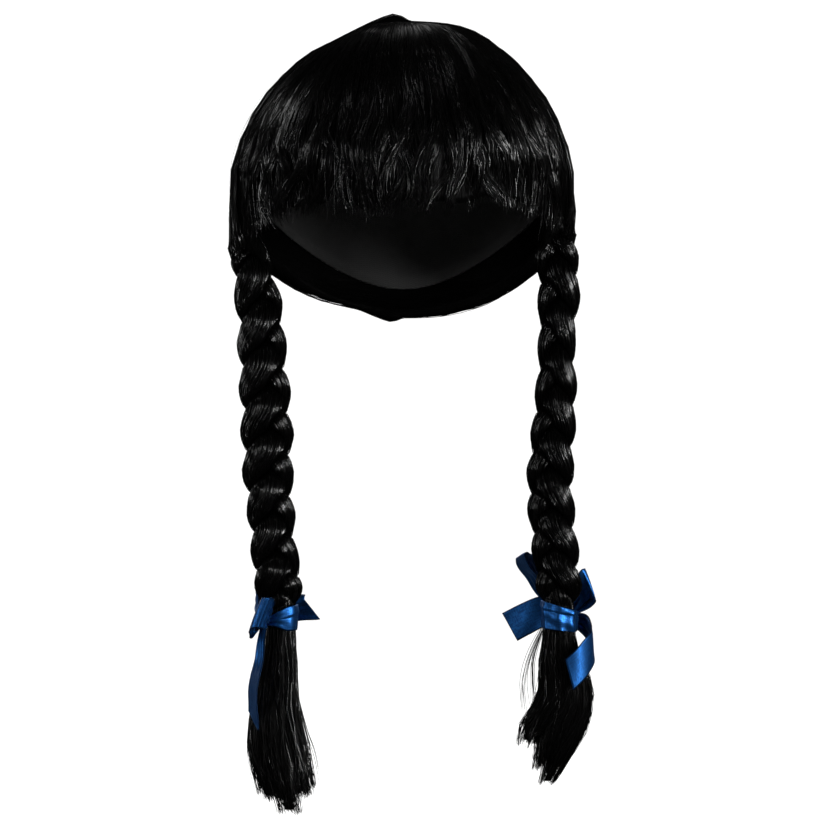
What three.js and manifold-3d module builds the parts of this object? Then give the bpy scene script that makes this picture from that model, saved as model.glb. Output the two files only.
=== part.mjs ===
// A black wig with a full fringe and two three-strand plaits, each tied with a satin ribbon bow.
// Millimetres, +Z up. The face looks along -Y, so +X is the wearer's left.
// The origin is the point inside the cap where the top of the head rests.

import * as THREE from "three";
import { mergeVertices } from "three/addons/utils/BufferGeometryUtils.js";
import Module from "manifold-3d";

const wasm = await Module();
wasm.setup();

// Driving dimensions
const GAP = 0.35; // clearance between pieces that lie against each other
const CAP_GAP = 0.9; // from the cap to the hair, at the corners of their facets
const HEAD = new THREE.Vector3(73, 92, 84); // half axes of the hollow, centred HEAD.z below the crown
const CAP_WALL = 1.5;
const HAIR_RISE = 12; // from the head to the outside of the hair
const CAP_RIM = { front: -60, side: -82, back: -122 }; // height of the cap's edge
const PARTING = { front: -11, nape: 126, notch: 3.5, halfGap: 0.3 }; // degrees from straight up, to the back
const GATHER = { x: 79, front: -20, back: 24, z: -97 }; // where each half's hair leaves the head
const CROWN = { locks: 9, depth: 2, wrapAngle: 80 }; // the outer face takes twice this angle of the bundle
const FRINGE = { locks: 13, depth: 1.8, notch: 4, centreZ: -91, thinOuter: 2.5, thinInner: 2 };
const WEAVE = { sway: 5.2, dive: -4.2, halfWidth: 8, halfDepth: 6.6, gap: 1.6 };
const RIBBON = { width: 16, thickness: 1 };
const WRAP = { inside: 8.3, fold: 0.7 };

// Shares of a lock's length: where the parting has closed, where the hair starts to leave the head
// and has left it, and where the tips of the fringe and of the tails begin
const STAGES = { parted: 0.1, full: 0.2, leaving: 0.62, left: 0.78, fringeTip: 0.75, tailTip: 0.7 };
const FRINGE_SEAM = { rootShare: 0.06, standOff: 0.016 }; // the fringe starts this far down and forward

// Facets: columns per lock, rows along the hair, sides and rings of strands and locks
const FACETS = { lockColumns: 2, crownRows: 9, fringeRows: 7, capColumns: 24, capRows: 8, wrapSegments: 18 };
const STRAND_FACETS = { sides: 8, rings: 56 };
const LOCK_FACETS = { sides: 6, rings: 6 };
const STRIP_STEPS = 3; // steps between two rows of a ribbon's table

// Courses of the plaits and tails, a row for each section: drop below the origin, place, turn and size.
// A plait's lobe pitch runs from one bulge to the next on the same side.
const PLAITS = {
  right: {
    side: -1,
    phase: 69,
    lobePitch: { top: 23.5, bottom: 18.5 },
    shoulder: 4.5,
    bundle: { x: 76.5, y: -4, drop: 110, halfWidth: 9, halfDepth: 13 },
    course: [
      { drop: 110, x: -75.5, y: -4, turn: 58, size: 0.86 },
      { drop: 135, x: -71.2, y: -5, turn: 54, size: 0.94 },
      { drop: 165, x: -69, y: -8, turn: 50, size: 0.97 },
      { drop: 197, x: -67, y: -10, turn: 46, size: 1 },
      { drop: 218, x: -66.4, y: -11, turn: 44, size: 0.97 },
      { drop: 236, x: -65, y: -12, turn: 42, size: 0.9 },
      { drop: 256, x: -63.2, y: -13.5, turn: 40, size: 0.88 },
      { drop: 272, x: -61.2, y: -14, turn: 38, size: 0.82 },
      { drop: 281, x: -60.5, y: -14, turn: 37, size: 0.5 },
    ],
  },
  left: {
    side: 1,
    phase: 111,
    lobePitch: { top: 22.4, bottom: 19 },
    shoulder: 0,
    bundle: { x: 77.5, y: 4, drop: 108, halfWidth: 8.5, halfDepth: 13 },
    course: [
      { drop: 108, x: 77.6, y: 4, turn: -36, size: 0.8 },
      { drop: 124, x: 78.5, y: 4, turn: -36, size: 0.8 },
      { drop: 153, x: 77.5, y: 2, turn: -37, size: 0.72 },
      { drop: 178, x: 77, y: 0, turn: -37, size: 0.78 },
      { drop: 200, x: 75.2, y: -1, turn: -38, size: 0.84 },
      { drop: 221, x: 74, y: -2, turn: -38, size: 0.88 },
      { drop: 262, x: 77, y: -5, turn: -39, size: 0.85 },
      { drop: 271, x: 78, y: -5.5, turn: -40, size: 0.8 },
      { drop: 280, x: 78.5, y: -6, turn: -40, size: 0.5 },
    ],
  },
};

const TAILS = {
  right: {
    course: [
      { drop: 281.4, x: -60.5, y: -14, halfWidth: 7, halfDepth: 7 },
      { drop: 298, x: -60.5, y: -14, halfWidth: 7, halfDepth: 7 },
      { drop: 312, x: -61, y: -14, halfWidth: 8.6, halfDepth: 8 },
      { drop: 332, x: -62.8, y: -15, halfWidth: 11.2, halfDepth: 9 },
      { drop: 352, x: -61.5, y: -16, halfWidth: 14, halfDepth: 10 },
      { drop: 372, x: -57.5, y: -17, halfWidth: 16, halfDepth: 10 },
      { drop: 386, x: -54.5, y: -17, halfWidth: 16.5, halfDepth: 9.5 },
    ],
    locks: [
      { across: 0, deep: 0, end: 381 },
      { across: -1, deep: 0, end: 378 },
      { across: -0.6, deep: -0.85, end: 380 },
      { across: 0, deep: -1, end: 386 },
      { across: 0.7, deep: -0.75, end: 378 },
      { across: 1, deep: 0.15, end: 375 },
      { across: 0.45, deep: 0.9, end: 379 },
      { across: -0.5, deep: 0.9, end: 380 },
    ],
  },
  left: {
    course: [
      { drop: 280.4, x: 78.5, y: -6, halfWidth: 7, halfDepth: 7 },
      { drop: 298, x: 78.5, y: -6, halfWidth: 7, halfDepth: 7 },
      { drop: 312, x: 79.5, y: -6.5, halfWidth: 10, halfDepth: 8 },
      { drop: 326, x: 80, y: -7, halfWidth: 13.6, halfDepth: 9 },
      { drop: 343, x: 75.5, y: -8, halfWidth: 16.5, halfDepth: 9.5 },
      { drop: 356, x: 70, y: -9, halfWidth: 15, halfDepth: 9 },
      { drop: 373, x: 65, y: -9, halfWidth: 12, halfDepth: 8 },
    ],
    locks: [
      { across: 0, deep: 0, end: 366 },
      { across: -1.15, deep: 0, end: 352 },
      { across: -0.6, deep: -0.85, end: 350 },
      { across: 0.2, deep: -1, end: 364 },
      { across: 0.8, deep: -0.7, end: 371 },
      { across: 1, deep: 0.2, end: 369 },
      { across: 0.45, deep: 0.9, end: 366 },
      { across: -0.5, deep: 0.9, end: 353 },
    ],
  },
};

// How far each lock of the fringe hangs past its centre line, from the wearer's right to the left
const FRINGE_ENDS = [9, 6.5, 4, 1.5, 0, 4, 0.5, -0.5, 1, -3, -1, 1.5, 7];

// Bows, measured from the middle of their wrap. A loop reaches out and back, with its width across.
const LOOP_OUTLINE = [
  { reach: 0, bulge: 0.4, wide: 0.4 },
  { reach: 0.45, bulge: 1, wide: 0.9 },
  { reach: 0.85, bulge: 0.8, wide: 1 },
  { reach: 1, bulge: 0, wide: 1 },
  { reach: 0.85, bulge: -0.8, wide: 1 },
  { reach: 0.45, bulge: -1, wide: 0.9 },
  { reach: 0, bulge: -0.4, wide: 0.4 },
];
const BOWS = {
  right: {
    drop: 289.5,
    wrap: { height: 13, slope: 0.16 },
    knot: { x: -10.1, y: -6.6, z: -1, size: 6, yaw: -57 },
    loops: [
      {
        name: "front",
        from: [-9, -10.6, 0.5],
        out: [0.05, -0.98, 0.15],
        across: [-0.4, 0.1, -0.9],
        reach: 15,
        bulge: 3.4,
      },
      {
        name: "back",
        from: [-13.3, -1.9, 0.9],
        out: [0.08, 0.9, 0.42],
        across: [0.05, -0.42, 0.9],
        reach: 19,
        bulge: 2.2,
      },
    ],
    ends: [
      {
        name: "outer",
        slant: 0.5,
        course: [
          { x: -10.4, y: -7.9, z: -5.5, wide: 0.4, acrossX: 0.5, acrossY: -0.85, acrossZ: 0.1 },
          { x: -10.2, y: -14, z: -18, wide: 1, acrossX: 0.34, acrossY: -0.94, acrossZ: 0 },
          { x: -13.5, y: -17, z: -37, wide: 1, acrossX: 0.24, acrossY: -0.97, acrossZ: 0 },
          { x: -13, y: -18, z: -50, wide: 1, acrossX: 0.2, acrossY: -0.97, acrossZ: 0 },
        ],
      },
      {
        name: "inner",
        slant: -0.6,
        course: [
          { x: 0, y: 11.2, z: 1, wide: 0.8, acrossX: 0.1, acrossY: 0.1, acrossZ: 0.95 },
          { x: 6, y: 10.8, z: 3.5, wide: 0.9, acrossX: 0.2, acrossY: 0.3, acrossZ: 0.9 },
          { x: 12, y: 9.8, z: 5.5, wide: 1, acrossX: 0.35, acrossY: 0.5, acrossZ: 0.8 },
          { x: 15.5, y: 8.6, z: 6, wide: 1, acrossX: 0.4, acrossY: 0.55, acrossZ: 0.75 },
        ],
      },
    ],
  },
  left: {
    drop: 289.5,
    wrap: { height: 15, slope: -0.14 },
    knot: { x: 3.6, y: 11.5, z: 0, size: 6, yaw: -17 },
    loops: [
      {
        name: "inner",
        from: [-1, 13.4, 3],
        out: [-0.62, 0.02, 0.78],
        across: [0.05, -0.99, 0.05],
        reach: 31,
        bulge: 2.4,
      },
      {
        name: "outer",
        from: [8.5, 11.8, 3.6],
        out: [0.3, -0.25, 0.92],
        across: [0.35, -0.85, -0.35],
        reach: 20,
        bulge: 3,
      },
    ],
    ends: [
      {
        name: "inner",
        slant: 0.15,
        course: [
          { x: -0.6, y: 12.5, z: -2.9, wide: 0.35, acrossX: 0.1, acrossY: 0.1, acrossZ: 0.95 },
          { x: -8, y: 13, z: -2, wide: 1, acrossX: -0.15, acrossY: 0.15, acrossZ: 0.92 },
          { x: -16, y: 10.5, z: -3, wide: 1, acrossX: -0.3, acrossY: 0.25, acrossZ: 0.9 },
          { x: -24, y: 7, z: -5.5, wide: 1, acrossX: -0.36, acrossY: 0.3, acrossZ: 0.86 },
        ],
      },
      {
        name: "outer",
        slant: -0.55,
        course: [
          { x: 8.1, y: 11, z: -2.6, wide: 0.4, acrossX: 0.3, acrossY: -0.1, acrossZ: 0.75 },
          { x: 13.6, y: 6, z: -8, wide: 0.9, acrossX: 0.24, acrossY: -0.5, acrossZ: 0.7 },
          { x: 15.6, y: -4, z: -15, wide: 1, acrossX: 0.1, acrossY: -0.6, acrossZ: 0.73 },
          { x: 11.6, y: -12, z: -22, wide: 1, acrossX: -0.5, acrossY: -0.39, acrossZ: 0.75 },
          { x: 4, y: -15.5, z: -28.5, wide: 1, acrossX: -0.67, acrossY: -0.14, acrossZ: 0.73 },
        ],
      },
    ],
  },
};

const MATERIALS = {
  hair: new THREE.MeshStandardMaterial({ color: 0x0b0a0b, roughness: 0.42, metalness: 0 }),
  net: new THREE.MeshStandardMaterial({ color: 0x141314, roughness: 0.9, metalness: 0 }),
  ribbon: new THREE.MeshStandardMaterial({ color: 0x123a7a, roughness: 0.35, metalness: 0 }),
};

const radians = THREE.MathUtils.degToRad;
const { lerp, smoothstep } = THREE.MathUtils;

// Collects triangles over shared points, leaving out any that have shrunk to a line
class Skin {
  constructor() {
    this.points = [];
    this.faces = [];
    this.places = new Map();
  }

  point(at) {
    const key = [at.x, at.y, at.z].map((value) => value.toFixed(3)).join(" ");
    if (!this.places.has(key)) {
      this.places.set(key, this.points.length);
      this.points.push(at);
    }
    return this.places.get(key);
  }

  triangle(a, b, c) {
    const corners = [a, b, c].map((at) => this.point(at));
    if (new Set(corners).size === 3) this.faces.push(...corners);
  }

  quad(a, b, c, d) {
    this.triangle(a, b, c);
    this.triangle(a, c, d);
  }

  geometry() {
    const made = new THREE.BufferGeometry().setFromPoints(this.points);
    made.setIndex(this.faces);
    made.computeVertexNormals();
    return made;
  }
}

// A wall between two grids of points, grid[column][row], seen from outside with rows running down.
// A ring of columns is joined to itself and has no walls at its sides.
function wallBetween(outer, inner, isRing = false) {
  const skin = new Skin();
  const columns = outer.length;
  const rows = outer[0].length;
  const lastColumn = isRing ? columns : columns - 1;
  for (let i = 0; i < lastColumn; i++) {
    const next = (i + 1) % columns;
    for (let j = 0; j + 1 < rows; j++) {
      skin.quad(outer[i][j], outer[i][j + 1], outer[next][j + 1], outer[next][j]);
      skin.quad(inner[i][j], inner[next][j], inner[next][j + 1], inner[i][j + 1]);
    }
    skin.quad(outer[i][0], outer[next][0], inner[next][0], inner[i][0]);
    skin.quad(outer[i][rows - 1], inner[i][rows - 1], inner[next][rows - 1], outer[next][rows - 1]);
  }
  for (let j = 0; j + 1 < rows && !isRing; j++) {
    const end = columns - 1;
    skin.quad(outer[0][j], inner[0][j], inner[0][j + 1], outer[0][j + 1]);
    skin.quad(outer[end][j], outer[end][j + 1], inner[end][j + 1], inner[end][j]);
  }
  return skin.geometry();
}

const middleOf = (points) =>
  points.reduce((sum, at) => sum.add(at), new THREE.Vector3()).divideScalar(points.length);

// A solid through rings of points that follow one another, closed at both ends.
// Each facet is folded along the diagonal that lies nearer the middle, so it never swells outwards.
function loft(rings) {
  const skin = new Skin();
  const sides = rings[0].length;
  const first = middleOf(rings[0]);
  const last = middleOf(rings.at(-1));
  for (let k = 0; k < sides; k++) {
    const next = (k + 1) % sides;
    for (let i = 0; i + 1 < rings.length; i++) {
      const [a, b, c, d] = [rings[i][k], rings[i + 1][k], rings[i + 1][next], rings[i][next]];
      const core = middleOf([...rings[i], ...rings[i + 1]]);
      const isNearer = middleOf([a, c]).distanceTo(core) < middleOf([b, d]).distanceTo(core);
      if (isNearer) skin.quad(a, b, c, d);
      else skin.quad(b, c, d, a);
    }
    skin.triangle(first, rings[0][k], rings[0][next]);
    skin.triangle(last, rings.at(-1)[next], rings.at(-1)[k]);
  }
  return skin.geometry();
}

// A geometry as a solid that can be joined to others
function solidOf(geometry) {
  const bare = geometry.clone();
  bare.deleteAttribute("normal");
  const merged = mergeVertices(bare, 1e-4);
  return new wasm.Manifold(
    new wasm.Mesh({
      numProp: 3,
      vertProperties: new Float32Array(merged.attributes.position.array),
      triVerts: new Uint32Array(merged.index.array),
    }),
  );
}

function geometryOf(solid) {
  const mesh = solid.getMesh();
  const made = new THREE.BufferGeometry();
  made.setAttribute("position", new THREE.BufferAttribute(mesh.vertProperties, mesh.numProp));
  made.setIndex(new THREE.BufferAttribute(mesh.triVerts, 1));
  made.computeVertexNormals();
  return made;
}

// A smooth function of one column of a table, giving the other columns by name
function tableCurve(rows, key) {
  const columns = Object.keys(rows[0]).filter((name) => name !== key);
  const cubic = new THREE.CubicInterpolant(
    rows.map((row) => row[key]),
    rows.flatMap((row) => columns.map((name) => row[name])),
    columns.length,
  );
  return (at) => Object.fromEntries([...cubic.evaluate(at)].map((value, i) => [columns[i], value]));
}

const spread = (count) => Array.from({ length: count + 1 }, (_, i) => i / count);

// The head's form: half axes grown by a rise, and places on it by a unit direction from its centre
const headAxes = (rise) => HEAD.clone().addScalar(rise);
const HAIR_INSIDE = CAP_WALL + CAP_GAP;

function onHead(direction, rise) {
  const at = direction.clone().normalize().multiply(headAxes(rise));
  return at.setZ(at.z - HEAD.z);
}

function headDirection(x, y, z) {
  const axes = headAxes(HAIR_RISE);
  return new THREE.Vector3(x / axes.x, y / axes.y, (z + HEAD.z) / axes.z).normalize();
}

// The direction part of the way along the great circle between two directions
function arc(from, to, share) {
  const whole = new THREE.Quaternion().setFromUnitVectors(from, to);
  return from.clone().applyQuaternion(new THREE.Quaternion().slerp(whole, share));
}

// Full at the middle of each lock and hollow between two locks
const lockRelief = (across, count) => Math.abs(Math.sin(Math.PI * count * across));

function wigCap() {
  const rimHeight = (azimuth) => {
    const forward = Math.cos(azimuth);
    const far = forward > 0 ? CAP_RIM.front : CAP_RIM.back;
    return lerp(CAP_RIM.side, far, forward * forward);
  };
  const grid = (rise) =>
    spread(FACETS.capColumns)
      .slice(0, -1)
      .map((turn) => {
        const azimuth = 2 * Math.PI * turn;
        const rim = Math.acos((rimHeight(azimuth) + HEAD.z) / HEAD.z);
        return spread(FACETS.capRows).map((share) => {
          const polar = rim * share;
          const level = Math.sin(polar);
          return onHead(
            new THREE.Vector3(level * Math.sin(azimuth), -level * Math.cos(azimuth), Math.cos(polar)),
            rise,
          );
        });
      });
  return wallBetween(grid(CAP_WALL), grid(0), true);
}

// The centre parting, from the front of it to the nape, and where each half's hair leaves the head
function partingRoot(share) {
  const tilt = radians(lerp(PARTING.front, PARTING.nape, share));
  return new THREE.Vector3(0, Math.sin(tilt), Math.cos(tilt));
}

function gatherDirection(side, share) {
  return headDirection(side * GATHER.x, lerp(GATHER.front, GATHER.back, share), GATHER.z);
}

// One half of the hair: from the parting round the head to where it is gathered, then into a bundle
function crownHair({ side, shoulder, bundle }) {
  const shoulderSlope = (along) =>
    smoothstep(along, 0, STAGES.full) * (1 - smoothstep(along, STAGES.full, STAGES.leaving));
  const point = (across, along, isOuter) => {
    const parted = 1 - smoothstep(along, 0, STAGES.parted);
    const furrow = (1 - lockRelief(across, CROWN.locks)) * smoothstep(along, 0, STAGES.full);
    const hollows = PARTING.notch * parted + CROWN.depth * furrow + shoulder * shoulderSlope(along);
    const share = Math.min(along / STAGES.left, 1);
    const direction = arc(partingRoot(across), gatherDirection(side, across), share);
    const onCrown = onHead(direction, isOuter ? HAIR_RISE - hollows : HAIR_INSIDE);
    onCrown.x += side * PARTING.halfGap * parted;
    const turn = radians(lerp(-CROWN.wrapAngle, CROWN.wrapAngle, across));
    const angle = isOuter ? turn : Math.PI - turn;
    const inBundle = new THREE.Vector3(
      side * (bundle.x + bundle.halfWidth * Math.cos(angle)),
      bundle.y + bundle.halfDepth * Math.sin(angle),
      -bundle.drop,
    );
    return onCrown.lerp(inBundle, smoothstep(along, STAGES.leaving, 1));
  };
  const columns = spread(CROWN.locks * FACETS.lockColumns);
  const across = side > 0 ? columns : columns.reverse();
  const grid = (isOuter) =>
    across.map((u) => spread(FACETS.crownRows).map((v) => point(u, v, isOuter)));
  return wallBetween(grid(true), grid(false));
}

// The fringe: locks that fan out from the front of the parting and hang over the brow.
// Its sides follow the front edge of the side hair.
function fringe() {
  const edgeStart = partingRoot(0);
  const edgeEnd = gatherDirection(1, 0);
  const forward = edgeEnd.clone().cross(edgeStart).setLength(FRINGE_SEAM.standOff);
  const corner = arc(edgeStart, edgeEnd, FRINGE_SEAM.rootShare).add(forward).normalize();
  const sideEnd = edgeEnd.clone().add(forward);
  const endAzimuth = Math.atan2(sideEnd.x, -sideEnd.y);
  const endLevel = (across) => {
    const lock = Math.min(Math.floor(across * FRINGE.locks), FRINGE.locks - 1);
    const shortened = FRINGE.notch * (1 - lockRelief(across, FRINGE.locks));
    return (FRINGE.centreZ - FRINGE_ENDS[lock] + shortened + HEAD.z) / headAxes(HAIR_RISE).z;
  };
  const point = (across, along, isOuter) => {
    const swing = 2 * across - 1;
    const root = corner.clone().setX(corner.x * swing).normalize();
    const level = endLevel(across);
    const ring = Math.sqrt(1 - level * level);
    const azimuth = endAzimuth * swing;
    const end = new THREE.Vector3(ring * Math.sin(azimuth), -ring * Math.cos(azimuth), level);
    const furrow = (1 - lockRelief(across, FRINGE.locks)) * smoothstep(along, STAGES.parted, 0.5);
    const thinning = smoothstep(along, STAGES.fringeTip, 1);
    const outside = HAIR_RISE - FRINGE.depth * furrow - FRINGE.thinOuter * thinning;
    const inside = HAIR_INSIDE + FRINGE.thinInner * thinning;
    return onHead(arc(root, end, along), isOuter ? outside : inside);
  };
  const grid = (isOuter) =>
    spread(FRINGE.locks * FACETS.lockColumns).map((u) =>
      spread(FACETS.fringeRows).map((v) => point(u, v, isOuter)),
    );
  return wallBetween(grid(true), grid(false));
}

// Where the three strands lie across a plait at a drop, in the plait's own turned plane
function strandCentres(plait, drop, size) {
  const start = plait.course[0].drop;
  const length = plait.course.at(-1).drop - start;
  const { top, bottom } = plait.lobePitch;
  const lobes = (length / (bottom - top)) * Math.log(lerp(top, bottom, (drop - start) / length) / top);
  const phase = radians(plait.phase) + (2 * Math.PI * lobes) / 3;
  return [0, 1, 2].map((strand) => {
    const angle = phase + (strand * 2 * Math.PI) / 3;
    const centre = new THREE.Vector2(WEAVE.sway * Math.sin(angle), WEAVE.dive * Math.sin(2 * angle));
    return centre.multiplyScalar(size);
  });
}

// One strand: an oval that is pressed flat where it meets the other two
function plaitStrand(plait, strand) {
  const courseAt = tableCurve(plait.course, "drop");
  const top = plait.course[0].drop + GAP;
  const bottom = plait.course.at(-1).drop;
  const ring = (share) => {
    const drop = lerp(top, bottom, share);
    const { x, y, turn, size } = courseAt(drop);
    const centres = strandCentres(plait, drop, size);
    const own = centres[strand];
    const others = centres.filter((_, k) => k !== strand);
    return spread(STRAND_FACETS.sides)
      .slice(0, -1)
      .map((round) => {
        const angle = 2 * Math.PI * round;
        const ray = new THREE.Vector2(Math.cos(angle), Math.sin(angle));
        const oval = size / Math.hypot(ray.x / WEAVE.halfWidth, ray.y / WEAVE.halfDepth);
        const limits = others.map((other) => {
          const towards = other.clone().sub(own);
          const facing = ray.dot(towards.clone().normalize());
          return facing > 0 ? (towards.length() - WEAVE.gap) / 2 / facing : Infinity;
        });
        const flat = own.clone().addScaledVector(ray, Math.min(oval, ...limits));
        flat.rotateAround(new THREE.Vector2(), radians(turn));
        return new THREE.Vector3(x + flat.x, y + flat.y, -drop);
      });
  };
  return loft(spread(STRAND_FACETS.rings).map(ring));
}

// The loose hair below a tie: tapering locks round a middle one, fused into one brush
function hairTail({ course, locks }) {
  const SPREAD = 0.58; // how far out the outer locks stand, as a share of the brush
  const GIRTH = 0.5; // how thick each lock is, as a share of the brush
  const POINT = 0.3; // what is left of a lock's girth at its end
  const courseAt = tableCurve(course, "drop");
  const top = course[0].drop;
  const lockSolid = ({ across, deep, end }) => {
    const ring = (share) => {
      const drop = lerp(top, end, share);
      const { x, y, halfWidth, halfDepth } = courseAt(drop);
      const taper = Math.max(POINT, Math.sqrt(1 - smoothstep(share, STAGES.tailTip, 1)));
      return spread(LOCK_FACETS.sides)
        .slice(0, -1)
        .map((round) => {
          const angle = 2 * Math.PI * round;
          return new THREE.Vector3(
            x + halfWidth * (SPREAD * across + GIRTH * taper * Math.cos(angle)),
            y + halfDepth * (SPREAD * deep + GIRTH * taper * Math.sin(angle)),
            -drop,
          );
        });
    };
    return solidOf(loft(spread(LOCK_FACETS.rings).map(ring)));
  };
  return geometryOf(locks.map(lockSolid).reduce((whole, lock) => whole.add(lock)));
}

// A strip of ribbon through places, each with a direction across it and a share of the full width.
// Its last edge may be cut on a slant.
function ribbonStrip(stations, slant = 0) {
  const rings = stations.map(({ at, across, wide }, i) => {
    const before = stations[Math.max(i - 1, 0)].at;
    const after = stations[Math.min(i + 1, stations.length - 1)].at;
    const tangent = after.clone().sub(before).normalize();
    const normal = tangent.clone().cross(across).normalize();
    const level = normal.clone().cross(tangent).normalize();
    const halfWidth = (wide * RIBBON.width) / 2;
    const cut = i === stations.length - 1 ? slant * halfWidth : 0;
    const corner = (edge, face) =>
      at
        .clone()
        .addScaledVector(level, edge * halfWidth)
        .addScaledVector(tangent, edge * cut)
        .addScaledVector(normal, (face * RIBBON.thickness) / 2);
    return [corner(1, 1), corner(1, -1), corner(-1, -1), corner(-1, 1)];
  });
  return loft(rings);
}

// Stations along a smooth line through a table's places, its widths and directions following along
function ribbonStations(rows) {
  const places = new THREE.CatmullRomCurve3(rows.map(({ at }) => at));
  const directions = new THREE.CatmullRomCurve3(rows.map(({ across }) => across));
  return spread(STRIP_STEPS * (rows.length - 1)).map((share) => {
    const reached = share * (rows.length - 1);
    const row = Math.min(Math.floor(reached), rows.length - 2);
    return {
      at: places.getPoint(share),
      across: directions.getPoint(share).normalize(),
      wide: lerp(rows[row].wide, rows[row + 1].wide, reached - row),
    };
  });
}

function bowLoop({ from, out, across, reach, bulge }) {
  const outwards = new THREE.Vector3(...out).normalize();
  const sideways = new THREE.Vector3(...across).cross(outwards).normalize();
  const width = outwards.clone().cross(sideways);
  const rows = LOOP_OUTLINE.map((row) => ({
    at: new THREE.Vector3(...from)
      .addScaledVector(outwards, row.reach * reach)
      .addScaledVector(sideways, row.bulge * bulge),
    across: width,
    wide: row.wide,
  }));
  return ribbonStrip(ribbonStations(rows));
}

function bowEnd({ course, slant }) {
  const rows = course.map((row) => ({
    at: new THREE.Vector3(row.x, row.y, row.z),
    across: new THREE.Vector3(row.acrossX, row.acrossY, row.acrossZ),
    wide: row.wide,
  }));
  return ribbonStrip(ribbonStations(rows), slant);
}

// The turn of ribbon round the plait: a band with a fold along its middle, higher on one side
function bowWrap({ height, slope }) {
  const folds = [
    { up: -0.5, out: 0 },
    { up: -0.2, out: 1 },
    { up: 0.12, out: 0 },
    { up: 0.33, out: 0.5 },
    { up: 0.5, out: 0 },
  ];
  const outside = WRAP.inside + RIBBON.thickness;
  const profile = folds.map(({ up, out }) => new THREE.Vector2(outside + WRAP.fold * out, height * up));
  profile.push(new THREE.Vector2(WRAP.inside, height / 2));
  profile.unshift(new THREE.Vector2(WRAP.inside, -height / 2));
  profile.push(profile[0].clone());
  const band = new THREE.LatheGeometry(profile, FACETS.wrapSegments).rotateX(Math.PI / 2);
  return band.applyMatrix4(new THREE.Matrix4().makeShear(0, slope, 0, 0, 0, 0));
}

// The knot: a small pad drawn in at its waist, where the loops and ends come out
function bowKnot(size) {
  const half = size / 2;
  const waist = half * 0.8;
  const swell = half * 1.15;
  const outline = new THREE.Shape();
  outline.moveTo(-half, -waist);
  outline.quadraticCurveTo(0, -swell, half, -waist);
  outline.quadraticCurveTo(waist, 0, half, waist);
  outline.quadraticCurveTo(0, swell, -half, waist);
  outline.quadraticCurveTo(-waist, 0, -half, -waist);
  const pad = new THREE.ExtrudeGeometry(outline, {
    depth: size * 0.3,
    bevelThickness: size * 0.14,
    bevelSize: size * 0.12,
    bevelSegments: 2,
    curveSegments: 3,
  });
  return pad.center().rotateX(Math.PI / 2);
}

function piece(name, geometry, material) {
  const mesh = new THREE.Mesh(geometry, material);
  mesh.name = name;
  return mesh;
}

function ribbonBow(side, bow, at) {
  const group = new THREE.Group();
  group.position.set(at.x, at.y, -bow.drop);
  const add = (name, geometry) => {
    const made = piece(`ribbon_${side}_${name}`, geometry, MATERIALS.ribbon);
    group.add(made);
    return made;
  };
  add("wrap", bowWrap(bow.wrap));
  const knot = add("knot", bowKnot(bow.knot.size));
  knot.position.set(bow.knot.x, bow.knot.y, bow.knot.z);
  knot.rotation.z = radians(bow.knot.yaw);
  bow.loops.forEach((loop) => add(`loop_${loop.name}`, bowLoop(loop)));
  bow.ends.forEach((end) => add(`end_${end.name}`, bowEnd(end)));
  return group;
}

const wig = new THREE.Group();
wig.add(piece("wig_cap", wigCap(), MATERIALS.net));
wig.add(piece("fringe", fringe(), MATERIALS.hair));
for (const side of ["right", "left"]) {
  const plait = PLAITS[side];
  const tail = TAILS[side];
  const bow = BOWS[side];
  wig.add(piece(`crown_hair_${side}`, crownHair(plait), MATERIALS.hair));
  for (const strand of [0, 1, 2]) {
    wig.add(piece(`plait_${side}_strand_${strand + 1}`, plaitStrand(plait, strand), MATERIALS.hair));
  }
  wig.add(piece(`tail_${side}`, hairTail(tail), MATERIALS.hair));
  wig.add(ribbonBow(side, bow, tableCurve(tail.course, "drop")(bow.drop)));
}

export default wig;
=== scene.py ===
# A black wig with a full fringe and two three-strand plaits, each tied with a satin ribbon bow.
# Metres, +Z up. The face looks along -Y, so +X is the wearer's left.
import math
from contextlib import contextmanager

import bpy
import numpy as np
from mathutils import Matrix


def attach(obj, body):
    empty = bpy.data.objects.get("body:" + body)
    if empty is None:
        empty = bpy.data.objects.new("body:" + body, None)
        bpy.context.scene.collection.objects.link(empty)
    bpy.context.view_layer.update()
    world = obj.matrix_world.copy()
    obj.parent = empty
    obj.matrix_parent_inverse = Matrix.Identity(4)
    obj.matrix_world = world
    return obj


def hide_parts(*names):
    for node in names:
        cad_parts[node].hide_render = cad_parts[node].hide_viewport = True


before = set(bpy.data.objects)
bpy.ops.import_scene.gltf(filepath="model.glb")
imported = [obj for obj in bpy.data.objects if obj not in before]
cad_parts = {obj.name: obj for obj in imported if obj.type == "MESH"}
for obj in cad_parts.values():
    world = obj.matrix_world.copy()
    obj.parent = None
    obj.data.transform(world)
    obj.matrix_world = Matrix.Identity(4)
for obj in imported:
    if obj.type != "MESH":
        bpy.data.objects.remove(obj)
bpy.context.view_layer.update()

# Driving sizes of the head's form and of the hair that lies on it
HEAD_AXES = np.array((0.073, 0.092, 0.084))
HEAD_CENTRE = np.array((0.0, 0.0, -0.084))
CAP_WALL = 0.0015
CAP_RIM = {"front": -0.060, "side": -0.082, "back": -0.122}
CAP_GRID = {"segments": 64, "rings": 20}
HAIR_INSIDE = 0.0024
HAIR_RISE = 0.012
PARTING = {"front": -11, "nape": 126, "notch": 0.0044, "overlap": 0.0006}
PARTING_BEND = {"to_left": 0.053, "span": (0, 0.35)}
GATHER = {"x": 0.079, "front": -0.020, "back": 0.024, "z": -0.097}
SIDE_LOCKS = {"count": 9, "depth": 0.0011, "wrap_angle": 80}
UNEVEN_LOCKS = {"by": 0.35, "turns": 2.3, "start": 0.1}
FRINGE = {"locks": 13, "depth": 0.0012, "centre_z": -0.091, "low_root": 0.0045, "turned_in": 0.0035}
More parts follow.
